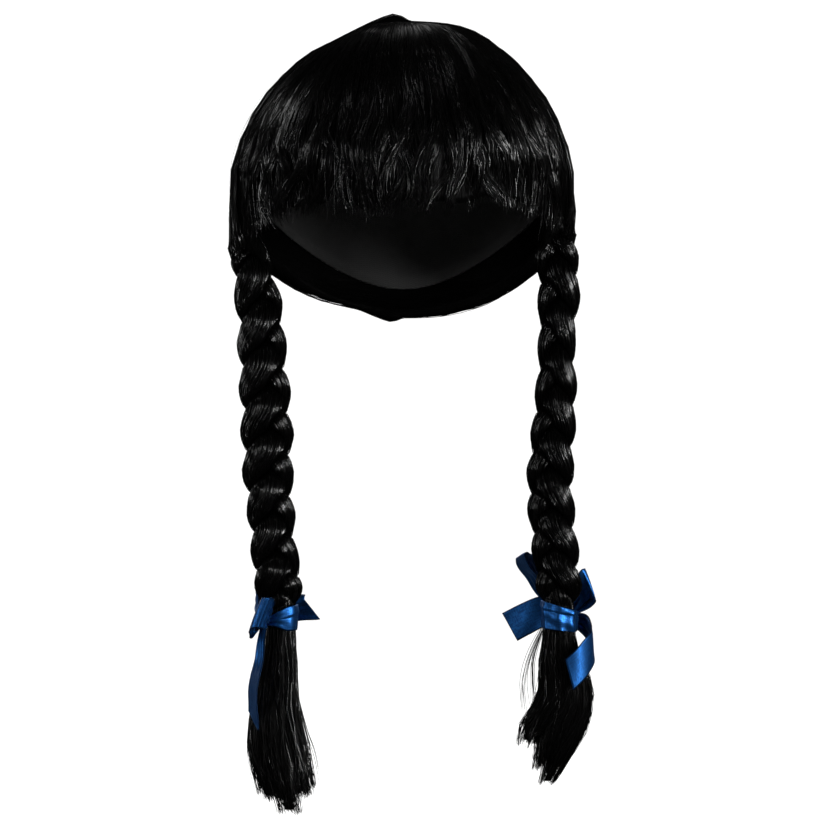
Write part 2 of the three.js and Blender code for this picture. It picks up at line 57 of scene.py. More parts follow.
FRINGE_SEAM = {"root_share": 0.06, "stand_off": 0.016, "right_shoulder": 0.0042}
FRINGE_ENDS = (9, 6.5, 4, 1.5, 0, 4, 0.5, -0.5, 1, -3, -1, 1.5, 7)
FRINGE_END_UNIT = 0.001
# How far the tips are swept to the side along the fringe: places from -1 to 1, and sweeps
FRINGE_SWEEP = (
    (-1, -0.75, -0.5, -0.25, -0.05, 0.15, 0.3, 0.45, 0.7, 1),
    (-0.08, -0.10, -0.06, 0.04, -0.05, -0.06, 0.06, 0.16, 0.14, 0.09),
)
# Where along the fringe each feature sets in or ends, and how far to the right its low shoulder sets in
FRINGE_SPANS = {"furrows": (0.1, 0.6), "root": (0, 0.22), "tips": (0.6, 1), "shoulder": (0.3, 0.7)}
FRINGE_SHOULDER_SIDE = (0.4, 0.9)

# Shares of a lock's length: hair full, hair starting to leave the head and clear of it, hair in a
# bundle, and bundle starting to round off
FULL, LEAVING, LEFT, BUNDLED, ROUNDING = 0.2, 0.62, 0.78, 0.88, 0.84
BUNDLE_CLOSES = 0.9
FRONT_SPAN = (0, 0.5)

# The plaits: one strand's way is a figure of eight, seen from above, with three strands a third apart.
# Seen from the front, each strand comes out at the middle, runs down to the edge and turns in behind.
WEAVE = {"sway": 0.0062, "dive": -0.0037, "half_width": 0.0076, "half_depth": 0.0071, "gap": -0.0004}
PRESSED = {"softness": 0.0004, "furthest": 0.02, "facing": 0.02}
FULL_PLAIT = {"half_width": 0.0133, "half_depth": 0.0104, "fill": 0.5}
FILLED = {"bare_span": (0, 0.004), "outer_span": (0.002, 0.006)}
HIDDEN_START = 0.014
HIDDEN_FORM = {"thinner": 0.6, "past_start": 0.4}
TINY = 1e-6
FRONT_ENDS_HIGHER = 0.012

# Rows of each plait: drop below the origin, x, y, turn in degrees, size
HALVES = {
    "right": {
        "side": -1,
        "shoulder": 0.0062,
        "parted": 0.046,
        "bundle": {"x": 0.0765, "y": -0.004, "drop": 0.106, "half_width": 0.009, "half_depth": 0.013},
        "bundle_end": 0.121,
        "phase": 69,
        "lobe_pitch": (0.0235, 0.0185),
        "plait": (
            (0.110, -0.0755, -0.004, 58, 0.86),
            (0.135, -0.0712, -0.005, 54, 0.94),
            (0.165, -0.0690, -0.008, 50, 0.97),
            (0.197, -0.0670, -0.010, 46, 1.01),
            (0.218, -0.0664, -0.011, 44, 0.97),
            (0.236, -0.0650, -0.012, 42, 0.90),
            (0.256, -0.0632, -0.0135, 40, 0.88),
            (0.276, -0.0608, -0.014, 37, 0.85),
            (0.285, -0.0605, -0.014, 36, 0.50),
        ),
    },
    "left": {
        "side": 1,
        "shoulder": 0.0012,
        "parted": 0.2,
        "bundle": {"x": 0.0775, "y": 0.004, "drop": 0.098, "half_width": 0.0085, "half_depth": 0.013},
        "bundle_end": 0.111,
        "phase": 90,
        "lobe_pitch": (0.0225, 0.019),
        "plait": (
            (0.104, 0.0775, 0.004, -36, 0.80),
            (0.124, 0.0785, 0.004, -36, 0.80),
            (0.153, 0.0775, 0.002, -37, 0.70),
            (0.178, 0.0770, 0.000, -37, 0.78),
            (0.200, 0.0752, -0.001, -38, 0.84),
            (0.221, 0.0740, -0.002, -38, 0.88),
            (0.262, 0.0770, -0.005, -39, 0.87),
            (0.275, 0.0782, -0.0058, -40, 0.84),
            (0.284, 0.0785, -0.006, -40, 0.50),
        ),
    },
}

# Rows of each tail's course: drop, x, y, half width, half depth. Rows of its locks: across, deep, end.
# Rows of its strays: places of x and drop along single hairs that stand out from it.
TAIL_SPREAD, TAIL_GIRTH, TAIL_TIP = 0.58, 0.5, 0.78
TAILS = {
    "right": {
        "course": (
            (0.270, -0.0608, -0.014, 0.0050, 0.0050),
            (0.284, -0.0605, -0.014, 0.0066, 0.0066),
            (0.298, -0.0605, -0.014, 0.0070, 0.0070),
            (0.312, -0.0610, -0.014, 0.0086, 0.0080),
            (0.332, -0.0628, -0.015, 0.0112, 0.0090),
            (0.352, -0.0615, -0.016, 0.0140, 0.0100),
            (0.372, -0.0575, -0.017, 0.0160, 0.0100),
            (0.388, -0.0545, -0.017, 0.0165, 0.0095),
        ),
        "gloss": 0.32,
        "strays": (
            ((-0.0520, 0.328), (-0.0478, 0.3465), (-0.0445, 0.3585), (-0.0425, 0.3715)),
            ((-0.0530, 0.340), (-0.0490, 0.355), (-0.0460, 0.366), (-0.0445, 0.378)),
        ),
        "locks": (
            (0, 0, 0.379),
            (-1, 0, 0.377),
            (-0.6, -0.85, 0.378),
            (0, -1, 0.385),
            (0.7, -0.75, 0.376),
            (1, 0.15, 0.374),
            (0.45, 0.9, 0.378),
            (-0.5, 0.9, 0.379),
        ),
    },
    "left": {
        "course": (
            (0.268, 0.0779, -0.0055, 0.0050, 0.0050),
            (0.284, 0.0785, -0.006, 0.0066, 0.0066),
            (0.298, 0.0785, -0.006, 0.0070, 0.0070),
            (0.312, 0.0795, -0.0065, 0.0098, 0.0080),
            (0.321, 0.0816, -0.007, 0.0119, 0.0090),
            (0.332, 0.0808, -0.0075, 0.0133, 0.0095),
            (0.343, 0.0757, -0.008, 0.0160, 0.0095),
            (0.356, 0.0712, -0.009, 0.0142, 0.0090),
            (0.375, 0.0655, -0.009, 0.0105, 0.0080),
        ),
        "gloss": 0.31,
        "strays": (
            ((0.0700, 0.294), (0.0635, 0.308), (0.0605, 0.322), (0.0618, 0.338)),
            ((0.0700, 0.296), (0.0655, 0.310), (0.0650, 0.321), (0.0656, 0.333)),
        ),
        "locks": (
            (0, 0, 0.364),
            (-1.15, 0, 0.352),
            (-0.6, -0.85, 0.350),
            (0.2, -1, 0.362),
            (0.8, -0.7, 0.372),
            (1, 0.2, 0.367),
            (0.45, 0.9, 0.365),
            (-0.5, 0.9, 0.353),
        ),
    },
}

# The bows, measured from the middle of their wrap
RIBBON_WIDTH = 0.016
RIBBON_THICKNESS = 0.0004
WRAP_INSIDE = 0.0079
# Rows of a loop or an end: place as x, y, z, share of the width, and the way across as x, y, z
BOWS = {
    "right": {
        "centre": (-0.0605, -0.014, -0.2895),
        "wrap": {"height": (0.0102, 0.0127), "slope": 0.1, "neck": 0.44, "crinkle": 0.0002, "layer": 0.62},
        "knot": {"at": (-0.0086, -0.0062, -0.001), "size": 0.006, "yaw": -57},
        "strips": {
            "loop_front": {
                "creases": 8,
                "slant": 0,
                "course": (
                    (-0.0056, -0.0084, 0.0000, 0.5, 0.34, 0, 0.94),
                    (-0.0048, -0.0118, 0.0026, 0.9, 0.34, 0, 0.94),
                    (-0.0058, -0.0162, 0.0038, 1, 0.34, 0, 0.94),
                    (-0.0078, -0.0194, 0.0042, 1, 0.34, 0, 0.94),
                    (-0.0091, -0.0196, 0.0042, 1, 0.34, 0, 0.94),
                    (-0.0106, -0.0170, 0.0038, 1, 0.34, 0, 0.94),
                    (-0.0118, -0.0125, 0.0012, 1, 0.34, 0, 0.94),
                    (-0.0110, -0.0090, -0.0026, 0.9, 0.34, 0, 0.94),
                    (-0.0084, -0.0076, -0.0016, 0.45, 0.34, 0, 0.94),
                ),
            },
            "loop_back": {
                "creases": 4,
                "slant": 0,
                "course": (
                    (-0.0104, -0.0016, 0.0040, 0.4, 0.05, -0.35, 0.93),
                    (-0.0118, 0.0062, 0.0100, 0.9, 0.05, -0.35, 0.93),
                    (-0.0122, 0.0132, 0.0142, 1, 0.05, -0.35, 0.93),
                    (-0.0112, 0.0152, 0.0150, 1, 0.05, -0.35, 0.93),
                    (-0.0092, 0.0132, 0.0142, 1, 0.05, -0.35, 0.93),
                    (-0.0084, 0.0078, 0.0098, 0.9, 0.05, -0.35, 0.93),
                    (-0.0094, -0.0004, 0.0044, 0.4, 0.05, -0.35, 0.93),
                ),
            },
            "end_outer": {
                "creases": 2,
                "slant": 0.5,
                "course": (
                    (-0.0078, -0.0085, -0.0040, 0.3, 0.5, -0.85, 0.1),
                    (-0.0092, -0.0140, -0.0140, 0.7, 0.36, -0.93, 0),
                    (-0.0112, -0.0165, -0.0260, 1, 0.30, -0.95, 0),
                    (-0.0126, -0.0178, -0.0380, 1, 0.32, -0.95, 0),
                    (-0.0122, -0.0180, -0.0488, 1, 0.36, -0.93, 0),
                ),
            },
            "end_inner": {
                "creases": 0,
                "slant": -1.0,
                "course": (
                    (0.0, 0.0104, 0.0030, 0.7, 0.1, 0.1, 0.95),
                    (0.006, 0.0104, 0.0040, 0.85, 0.2, 0.3, 0.9),
                    (0.011, 0.0096, 0.0050, 0.95, 0.3, 0.45, 0.84),
                    (0.0148, 0.0086, 0.0054, 1, 0.34, 0.5, 0.8),
                ),
            },
        },
    },
    "left": {
        "centre": (0.0785, -0.006, -0.2895),
        "wrap": {"height": (0.0138, 0.0108), "slope": -0.2, "neck": 0.66, "crinkle": 0.0007, "layer": 0.8},
        "knot": {"at": (0.0032, 0.0104, 0.0), "size": 0.006, "yaw": -17},
        "strips": {
            "loop_inner": {
                "creases": 5,
                "slant": 0,
                "course": (
                    (-0.0010, 0.0122, 0.0030, 0.4, 0.28, -0.93, 0.10),
                    (-0.0080, 0.0130, 0.0118, 0.8, 0.28, -0.93, 0.18),
                    (-0.0142, 0.0132, 0.0208, 1, 0.28, -0.93, 0.20),
                    (-0.0190, 0.0128, 0.0282, 1, 0.28, -0.93, 0.20),
                    (-0.0180, 0.0122, 0.0306, 1, 0.28, -0.93, 0.20),
                    (-0.0146, 0.0118, 0.0286, 1, 0.28, -0.93, 0.20),
                    (-0.0094, 0.0116, 0.0204, 0.9, 0.28, -0.93, 0.20),
                    (-0.0020, 0.0112, 0.0070, 0.4, 0.28, -0.93, 0.10),
                ),
            },
            "loop_outer": {
                "creases": 5,
                "slant": 0,
                "course": (
                    (0.0070, 0.0112, 0.0040, 0.4, 0.30, -0.30, -0.90),
                    (0.0092, 0.0080, 0.0092, 0.7, 0.34, 0.30, -0.88),
                    (0.0118, 0.0046, 0.0146, 1, 0.36, 0.42, -0.82),
                    (0.0140, 0.0020, 0.0168, 1, 0.34, 0.20, -0.90),
                    (0.0160, 0.0036, 0.0160, 1, 0.30, -0.22, -0.93),
                    (0.0140, 0.0084, 0.0106, 0.8, 0.30, -0.26, -0.92),
                    (0.0084, 0.0120, 0.0044, 0.4, 0.30, -0.30, -0.90),
                ),
            },
            "end_inner": {
                "creases": 0,
                "slant": 0.1,
                "course": (
                    (-0.0006, 0.0115, 0.0010, 0.4, 0.1, 0.1, 0.95),
                    (-0.0080, 0.0118, 0.0022, 1, -0.05, 0.12, 0.99),
                    (-0.0160, 0.0132, -0.0012, 1, -0.28, 0.1, 0.95),
                    (-0.0243, 0.0156, -0.0057, 1, -0.4, 0.11, 0.9),
                ),
            },
            "end_outer": {
                "creases": 3,
                "slant": 0,
                "course": (
                    (0.0076, 0.0102, -0.0010, 0.4, 0.3, -0.1, 0.75),
                    (0.0132, 0.0060, -0.0048, 0.8, 0.1, -0.5, 0.82),
                    (0.0164, -0.0030, -0.0118, 1, -0.12, -0.45, 0.88),
                    (0.0126, -0.0115, -0.0190, 1, -0.24, -0.25, 0.94),
                    (0.0042, -0.0150, -0.0272, 1, -0.24, -0.10, 0.97),
                ),
            },
        },
    },
}
# How the loops are held and the ends hang, and the rows of their grids
STRIP_KINDS = {"loop": ("folded", 70), "end": ("hung", 48)}
STRIP_FORM = {"columns": 18, "step": 0.02, "narrowest": 0.3, "cut_span": (0.55, 1)}
PLEAT = {"depth": 0.0013, "waves": 1.5, "start": 0.6}
CREASE = {"depth": 0.00028, "bend": 0.4, "bend_rate": 2.4}
RIPPLE = {"depth": 0.0002, "along": 7, "across": 2}
WRAP_GRID = (24, 84)
WRAP_NECK_SPAN = (0.3, 1.6)
WRAP_LAYER = {"thickness": 0.0006, "half_step": 0.02, "wander": 0.08, "start": 0.6}
WRAP_FOLDS = {"upright": 0.7, "round": 7, "bend": 3, "slanted": 0.3, "up": 11, "slant_round": 2}
WRAP_SWELL = 0.0005
WRAP_PLEAT = {"depth": 0.0007, "waves": 2.5}
KNOT_GRID = (40, 40)
KNOT = {"half_height": 0.5, "half_depth": 0.3, "narrows": 0.25, "crease": 0.06, "creases": 3, "bend": 0.8}

# The loose hair. A swing, drift (both sideways), lift (outwards) or wave is a size and a number of turns
# along the hair. A span is where something sets in, a taper or a pair of widths is at the root and at the
# tip, and other pairs are a lowest and a highest. A single length, sweep, curl, height or the like is how
# widely that thing varies.
STRAND_CORNERS = (90, 210, 330)
STRAND_RADIUS = 0.00022
STRAY_RADIUS = 0.00009
BODY_SUNK = 0.0008
PLAIT_SUNK = 0.0002
SEAM_WIDTH = 1e-5
LOCK_MIDDLE = (0.25, 0.75)
LOCK_RATE = (0.75, 1.25)
LOCK_SHADE = 0.35
STRAND_RATE = (0.6, 1.4)
WAVE_SHARES = (0.65, 0.35)
SECOND_WAVE_RATE = 2.1
TAPER_SPANS = ((0, 0.12), (0.7, 1))
GLOSSY_FROM = 0.56
SIDE_GRID = (90, 64)
SIDE_STRANDS = {
    "count": 1150,
    "locks": 44,
    "steps": 21,
    "crowding": 1.6,
    "grown_span": (0.03, 0.3),
    "gathered": 0.6,
    "lock_width": 0.8,
    "lock_swing": (0.009, 1.5),
    "lock_lift": (0.0008, 1.8),
    "lock_height": (-0.0004, 0.0006),
    "lock_round": 0.0007,
    "swing": (0.005, 1.3),
    "height": (-0.0003, 0.0003),
    "lift": (0.0003, 2.2),
    "thickness": (0.75, 1.2),
    "taper": (0.8, 0.8),
    "front_gloss": 0.2,
    "front_span": (0.05, 0.4),
}
FRINGE_GRID = (90, 40)
FRINGE_BODY = {"shorter": 0.004, "thin_span": (0.7, 1), "thin_outside": 0.0022, "thin_inside": 0.002}
FRINGE_STRANDS = {
    "count": 1700,
    "locks": 52,
    "steps": 18,
    "last_step": 0.95,
    "crowding": 1.5,
    "grown_span": (0.55, 0.85),
    "drawn_span": (0.5, 1),
    "lock_width": (1.6, 1.2),
    "lock_length": 0.0016,
    "lock_swing": (0.045, 2.8),
    "lock_lift": (0.0019, 3),
    "lock_height": (-0.0006, 0.0008),
    "lock_round": 0.0011,
    "lock_drift": (0.03, 1.3),
    "drift_span": (0.1, 0.5),
    "sweep": 0.03,
    "sweep_span": (0.6, 1),
    "sweep_bend": 1.3,
    "follow": (0.35, 1),
    "swing": (0.012, 1.4),
    "swing_span": (0.1, 0.6),
    "turned_in": (0.002, 0.006),
    "turned_span": (0.76, 1),
    "height": (-0.0004, 0.0003),
    "lift": (0.0003, 2),
    "shorter": 0.0005,
    "length": 0.0018,
    "thickness": (0.75, 1.2),
    "taper": (0.7, 0.45),
}
FRINGE_WISPS = {
    "count": 150,
    "steps": 14,
    "start": 0.35,
    "to_right": 0.02,
    "curl": 0.06,
    "curl_span": (0.6, 1),
    "curl_bend": 1.5,
    "longer": 0.004,
    "height": (0, 0.0012),
    "turned_in": (0, 0.003),
    "swing": (0.006, 1),
    "thickness": (0.8, 1.4),
    "taper": (0.6, 0.4),
}
CROWN_FLYAWAYS = {
    "count": 100,
    "steps": 11,
    "start": (0.02, 0.45),
    "length": (0.15, 0.35),
    "swing": (0.012, 0.8),
    "bow": 0.75,
    "height": 0.0009,
    "thickness": (0.6, 1),
    "taper": (0.6, 0.4),
}
PLAIT_GRID = (24, 150)
PLAIT_FIBRES = {
    "count": 128,
    "rings": 130,
    "steps": 9,
    "shortest": 5,
    "tuck": 0.0012,
    "swing": (0.1, 3),
    "height": (-0.0001, 0.0005),
    "lift": (0.0002, 8),
    "thickness": (0.55, 0.9),
    "taper": (0.5, 0.5),
    "gloss": 0.7,
}
TAIL_GRID = (20, 30)
TAIL_BODY = {"shorter": 0.002, "girth": 0.95, "tip_girth": 0.3}
TAIL_STRANDS = {
    "count": 130,
    "steps": 12,
    "last_step": 0.985,
    "uneven": 0.15,
    "clumps": 6,
    "clump_length": 0.0012,
    "shorter": 0.0006,
    "length": 0.0008,
    "loose_span": (0.2, 0.35),
    "girth": (0.75, 1.08),
    "tip_girth": 0.7,
    "girth_waves": (0.1, 1.6),
    "swing": (0.45, 1.4),
    "fine_swing": (0.2, 3),
    "thickness": (0.5, 0.9),
    "taper": (0.8, 0.6),
}
TAIL_STRAYS = {
    "count": 8,
    "beside_row": 3,
    "apart": 0.0012,
    "root_apart": 0.3,
    "lower": 0.003,
    "deep": 0.003,
    "thickness": (1.1, 1.9),
    "taper": (0.8, 0.5),
}
SEEDS = {"fringe": 3, "flyaways": 4, "side": 10, "plait": 20, "tail": 30}

# The stage: lamps by name, place, size and power, all aimed at one point
FLOOR = {"size": 8, "forward": 1.5, "drop": 0.46, "sweep": 1.2, "sweep_steps": 24, "wall": 4}
LAMP_AIM = (0, 0, -0.15)
LAMPS = (
    ("key_light", (1.07, -1.37, 0.18), 0.35, 9),
    ("left_light", (-1.05, -1.37, 0.16), 0.35, 5),
    ("low_right_light", (1.5, -0.9, -0.1), 0.4, 30),
    ("low_left_light", (-1.65, -0.35, -0.2), 0.4, 6),
    ("crown_light", (-0.2, 0.95, 1.15), 0.5, 0.8),
    ("upper_left_light", (-1.2, -0.3, 1.0), 0.5, 6),
    ("back_right_light", (1.1, 1.4, 0.4), 0.5, 4),
    ("back_left_light", (-1.1, 1.4, 0.4), 0.5, 4),
)
SKY = {"seen": 1.0, "mirrored": 0.01}
CAMERA = {"place": (0.00525, -1.6, -0.18725), "lens": 139.6, "sensor": 36}


# Small helpers on arrays of points
def unit(vectors):
    return vectors / np.linalg.norm(vectors, axis=-1, keepdims=True)


def lerp(start, end, share):
    return start + (end - start) * share


def smoothstep(value, low, high):
    share = np.clip((value - low) / (high - low), 0, 1)
    return share * share * (3 - 2 * share)


def points(x, y, z):
    return np.stack(np.broadcast_arrays(x, y, z), axis=-1)


def table_curve(rows, at):
    """The later columns of a table, each on a smooth curve, at places along its first column."""
    table = np.array(rows, dtype=float)
    keys = table[:, 0]
    values = table[:, 1:]
    slopes = np.gradient(values, keys, axis=0)
    at = np.clip(np.asarray(at, dtype=float), keys[0], keys[-1])
    row = np.clip(np.searchsorted(keys, at, side="right") - 1, 0, len(keys) - 2)
    span = (keys[row + 1] - keys[row])[..., None]
    share = (at - keys[row])[..., None] / span
    rest = 1 - share
    curve = values[row] * rest**2 * (1 + 2 * share) + values[row + 1] * share**2 * (3 - 2 * share)
    curve = curve + slopes[row] * span * share * rest**2 - slopes[row + 1] * span * share**2 * rest
    return np.moveaxis(curve, -1, 0)


def waves(rng, count, steps, size, turns):
    """A slow random wave along each of many strands, no larger than its size."""
    along = np.linspace(0, 1, steps)
    phase = rng.uniform(0, 2 * math.pi, (2, count, 1))
    rate = 2 * math.pi * turns * rng.uniform(*STRAND_RATE, (2, count, 1))
    first = np.sin(rate[0] * along + phase[0])
    second = np.sin(SECOND_WAVE_RATE * rate[1] * along + phase[1])
    return size * (WAVE_SHARES[0] * first + WAVE_SHARES[1] * second)


def lock_waves(rng, locks, along, size, turns):
    """The slow wave of each lock of hair, no larger than its size."""
    start = rng.uniform(0, 2 * math.pi, (locks, 1))
    rate = 2 * math.pi * turns * rng.uniform(*LOCK_RATE, (locks, 1))
    return size * np.sin(rate * along + start)


def lock_shades(rng, locks, lock):
    """How glossy each strand is: in part as glossy as its lock, and for the rest at random."""
    return LOCK_SHADE * rng.random(locks)[lock] + (1 - LOCK_SHADE) * rng.random(len(lock))


# The head's form
def on_head(direction, rise):
    axes = HEAD_AXES + np.asarray(rise)[..., None]
    return HEAD_CENTRE + unit(direction) * axes


def head_direction(x, y, z):
    return unit((points(x, y, z) - HEAD_CENTRE) / (HEAD_AXES + HAIR_RISE))


def arc(start, end, share):
    """The direction part of the way along the great circle between two directions."""
    angle = np.arccos(np.clip(np.sum(start * end, axis=-1, keepdims=True), -1, 1))
    share = np.asarray(share)[..., None]
    return (start * np.sin((1 - share) * angle) + end * np.sin(share * angle)) / np.sin(angle)


# The side hair: from the parting round the head to where it is gathered, then into a bundle
def parting_root(across):
    tilt = np.radians(lerp(PARTING["front"], PARTING["nape"], across))
    to_left = PARTING_BEND["to_left"] * (1 - smoothstep(across, *PARTING_BEND["span"]))
    return unit(points(to_left, np.sin(tilt), np.cos(tilt)))


def gather_direction(side, across):
    return head_direction(side * GATHER["x"], lerp(GATHER["front"], GATHER["back"], across), GATHER["z"])


def lock_furrow(across, count):
    """0 along the middle of each lock and 1 between two locks, the locks being of uneven width."""
    turn = 2 * math.pi * (across * UNEVEN_LOCKS["turns"] + UNEVEN_LOCKS["start"])
    uneven = across * count + UNEVEN_LOCKS["by"] * np.sin(turn)
    return (0.5 + 0.5 * np.cos(2 * math.pi * uneven)) ** 2


def gathered_hair(half, across, along, rise, is_outer, lift):
    """Hair that leaves the head for the bundle, which rounds off where the plait begins."""
    side = half["side"]
    bundle = half["bundle"]
    way = arc(parting_root(across), gather_direction(side, across), np.minimum(along / LEFT, 1))
    on_crown = on_head(way, rise)
    on_crown[..., 0] -= side * PARTING["overlap"] * (1 - smoothstep(along, 0, half["parted"]))
    turn = np.radians(lerp(-SIDE_LOCKS["wrap_angle"], SIDE_LOCKS["wrap_angle"], across))
    if not is_outer:
        turn = math.pi - turn
    rounded = np.clip((along - ROUNDING) / (1 - ROUNDING), 0, 1)
    lowest = half["bundle_end"] - FRONT_ENDS_HIGHER * (1 - smoothstep(across, *FRONT_SPAN))
    drop = lerp(bundle["drop"] - 0.5 * (half["bundle_end"] - lowest), lowest, rounded)
    narrow = np.sqrt(1 - (BUNDLE_CLOSES * rounded) ** 2)
    plait_x, plait_y, _, _ = table_curve(half["plait"], drop)
    in_bundle = points(
        lerp(side * bundle["x"], plait_x, rounded)
        + side * (bundle["half_width"] + lift) * narrow * np.cos(turn),
        lerp(bundle["y"], plait_y, rounded) + (bundle["half_depth"] + lift) * narrow * np.sin(turn),
        -drop,
    )
    return lerp(on_crown, in_bundle, smoothstep(along, LEAVING, BUNDLED)[..., None])


def side_hair(half, across, along, lift):
    parted = 1 - smoothstep(along, 0, half["parted"])
    furrow = lock_furrow(across, SIDE_LOCKS["count"]) * smoothstep(along, 0, FULL)
    shoulder = smoothstep(along, 0, FULL) * (1 - smoothstep(along, FULL, LEAVING))
    hollow = PARTING["notch"] * parted + SIDE_LOCKS["depth"] * furrow + half["shoulder"] * shoulder
    return gathered_hair(half, across, along, HAIR_RISE - hollow + lift, True, lift)


def side_hair_inside(half, across, along):
    return gathered_hair(half, across, along, np.full(across.shape, HAIR_INSIDE), False, 0)


# The fringe: it fans out from the front of the parting and hangs over the brow
FRINGE_EDGE_START = parting_root(np.array(0.0))
FRINGE_EDGE_END = gather_direction(1, np.array(0.0))
FRINGE_FORWARD = unit(np.cross(FRINGE_EDGE_END, FRINGE_EDGE_START)) * FRINGE_SEAM["stand_off"]
FRINGE_CORNER = unit(arc(FRINGE_EDGE_START, FRINGE_EDGE_END, FRINGE_SEAM["root_share"]) + FRINGE_FORWARD)
FRINGE_SIDE_END = FRINGE_EDGE_END + FRINGE_FORWARD
FRINGE_AZIMUTH = math.atan2(FRINGE_SIDE_END[0], -FRINGE_SIDE_END[1])


def fringe_hair(swing, along, longer, rise):
    """A place on the fringe, swing running from -1 at the wearer's right to 1 at the left."""
    root = unit(points(FRINGE_CORNER[0] * swing, FRINGE_CORNER[1], FRINGE_CORNER[2]))
    lock = (np.arange(len(FRINGE_ENDS)) + 0.5) / len(FRINGE_ENDS) * 2 - 1
    hang = np.interp(swing, lock, FRINGE_ENDS) * FRINGE_END_UNIT + longer
    level = (FRINGE["centre_z"] - hang - HEAD_CENTRE[2]) / (HEAD_AXES[2] + HAIR_RISE)
    ring = np.sqrt(1 - level**2)
    azimuth = FRINGE_AZIMUTH * swing
    end = points(ring * np.sin(azimuth), -ring * np.cos(azimuth), level)
    return on_head(arc(root, end, along), rise)


def fringe_rise(swing, along):
    furrow = lock_furrow((swing + 1) / 2, FRINGE["locks"]) * smoothstep(along, *FRINGE_SPANS["furrows"])
    low_root = FRINGE["low_root"] * (1 - smoothstep(along, *FRINGE_SPANS["root"]))
    turned_in = FRINGE["turned_in"] * smoothstep(along, *FRINGE_SPANS["tips"])
    shoulder = FRINGE_SEAM["right_shoulder"] * smoothstep(-swing, *FRINGE_SHOULDER_SIDE)
    shoulder = shoulder * (1 - smoothstep(along, *FRINGE_SPANS["shoulder"]))
    return HAIR_RISE - FRINGE["depth"] * furrow - low_root - turned_in - shoulder


# A strand of a plait: an oval pressed flat where it meets the other two
def weave_phase(half, drop):
    """How far a plait's strands have gone round, with lobes that grow shorter on the way down."""
    top, bottom = half["lobe_pitch"]
    start = half["plait"][0][0]
    length = half["plait"][-1][0] - start
    pitch = lerp(top, bottom, (drop - start) / length)
    turns = length / (bottom - top) * np.log(pitch / top) / 3
    return math.radians(half["phase"]) + 2 * math.pi * turns


def strand_surface(half, strand, drop, angle, lift):
    """Places on a strand, the way out to each from the plait's middle, and how bare it is."""
    rows = half["plait"]
    x, y, turn, size = table_curve(rows, drop)
    start = rows[0][0]
    clear = start + HIDDEN_FORM["past_start"] * HIDDEN_START
    buried = 1 - smoothstep(drop, start - HIDDEN_START, clear)
    size = size * (1 - HIDDEN_FORM["thinner"] * buried)
    phase = weave_phase(half, drop)
    ways = [phase + 2 * math.pi * k / 3 for k in range(3)]
    centres = [
        np.stack((WEAVE["sway"] * np.sin(way) * size, WEAVE["dive"] * np.sin(2 * way) * size), axis=-1)
        for way in ways
    ]
    ray = np.stack(np.broadcast_arrays(np.cos(angle), np.sin(angle)), axis=-1)
    oval = size / np.hypot(ray[..., 0] / WEAVE["half_width"], ray[..., 1] / WEAVE["half_depth"])
    reach = np.full(oval.shape, np.inf)
    for other in range(3):
        if other == strand:
            continue
        towards = centres[other] - centres[strand]
        distance = np.linalg.norm(towards, axis=-1)
        facing = np.sum(ray * towards, axis=-1) / distance
        limit = (distance - WEAVE["gap"]) / 2 / np.maximum(facing, TINY)
        reach = np.minimum(reach, np.where(facing > PRESSED["facing"], limit, np.inf))
    softness = PRESSED["softness"]
    apart = np.minimum(np.abs(oval - reach), PRESSED["furthest"])
    rounded = np.minimum(oval, reach) - softness * np.log1p(np.exp(-apart / softness))
    flat = centres[strand] + ray * (rounded + lift)[..., None]
    away = np.maximum(np.linalg.norm(flat, axis=-1), TINY)
    full = size * away / np.hypot(
        flat[..., 0] / FULL_PLAIT["half_width"], flat[..., 1] / FULL_PLAIT["half_depth"]
    )
    plump = FULL_PLAIT["fill"] * smoothstep(reach - oval, *FILLED["bare_span"])
    plump = plump * smoothstep(away, *FILLED["outer_span"])
    flat = flat * (1 + plump * (full + lift - away) / away)[..., None]
    cosine = np.cos(np.radians(turn))
    sine = np.sin(np.radians(turn))
    side = flat[..., 0] * cosine - flat[..., 1] * sine
    deep = flat[..., 0] * sine + flat[..., 1] * cosine
    return points(x + side, y + deep, -drop), points(side, deep, 0 * side), reach - oval


# The loose hair below a tie
def tail_hair(tail, lock, drop, angle, girth):
    across, deep, _ = lock
    x, y, half_width, half_depth = table_curve(tail["course"], drop)
    return points(
        x + half_width * (TAIL_SPREAD * across + TAIL_GIRTH * girth * np.cos(angle)),
        y + half_depth * (TAIL_SPREAD * deep + TAIL_GIRTH * girth * np.sin(angle)),
        -drop,
    )


# Modelling helpers
def vertex_places(piece):
    places = np.empty(3 * len(piece.data.vertices))
    piece.data.vertices.foreach_get("co", places)
    return places.reshape(-1, 3)


def shaped_grid(name, columns, rows, place):
    """A grid primitive whose points are carried to their places on a curved form."""
    bpy.ops.object.select_all(action="DESELECT")
    bpy.ops.mesh.primitive_grid_add(x_subdivisions=columns, y_subdivisions=rows, size=1)
    piece = bpy.context.object
    piece.name = name
    flat = vertex_places(piece)
    across = np.clip(flat[:, 0] + 0.5, 0, 1)
    along = np.clip(flat[:, 1] + 0.5, 0, 1)
    piece.data.vertices.foreach_set("co", place(across, along).ravel())
    return piece


def join(name, pieces):
    bpy.ops.object.select_all(action="DESELECT")
    for piece in pieces:
        piece.select_set(True)
    bpy.context.view_layer.objects.active = pieces[0]
    if len(pieces) > 1:
        bpy.ops.object.join()
    pieces[0].name = name
    return pieces[0]


@contextmanager
def edit_mode(piece):
    bpy.context.view_layer.objects.active = piece
    bpy.ops.object.mode_set(mode="EDIT")
    yield
    bpy.ops.object.mode_set(mode="OBJECT")


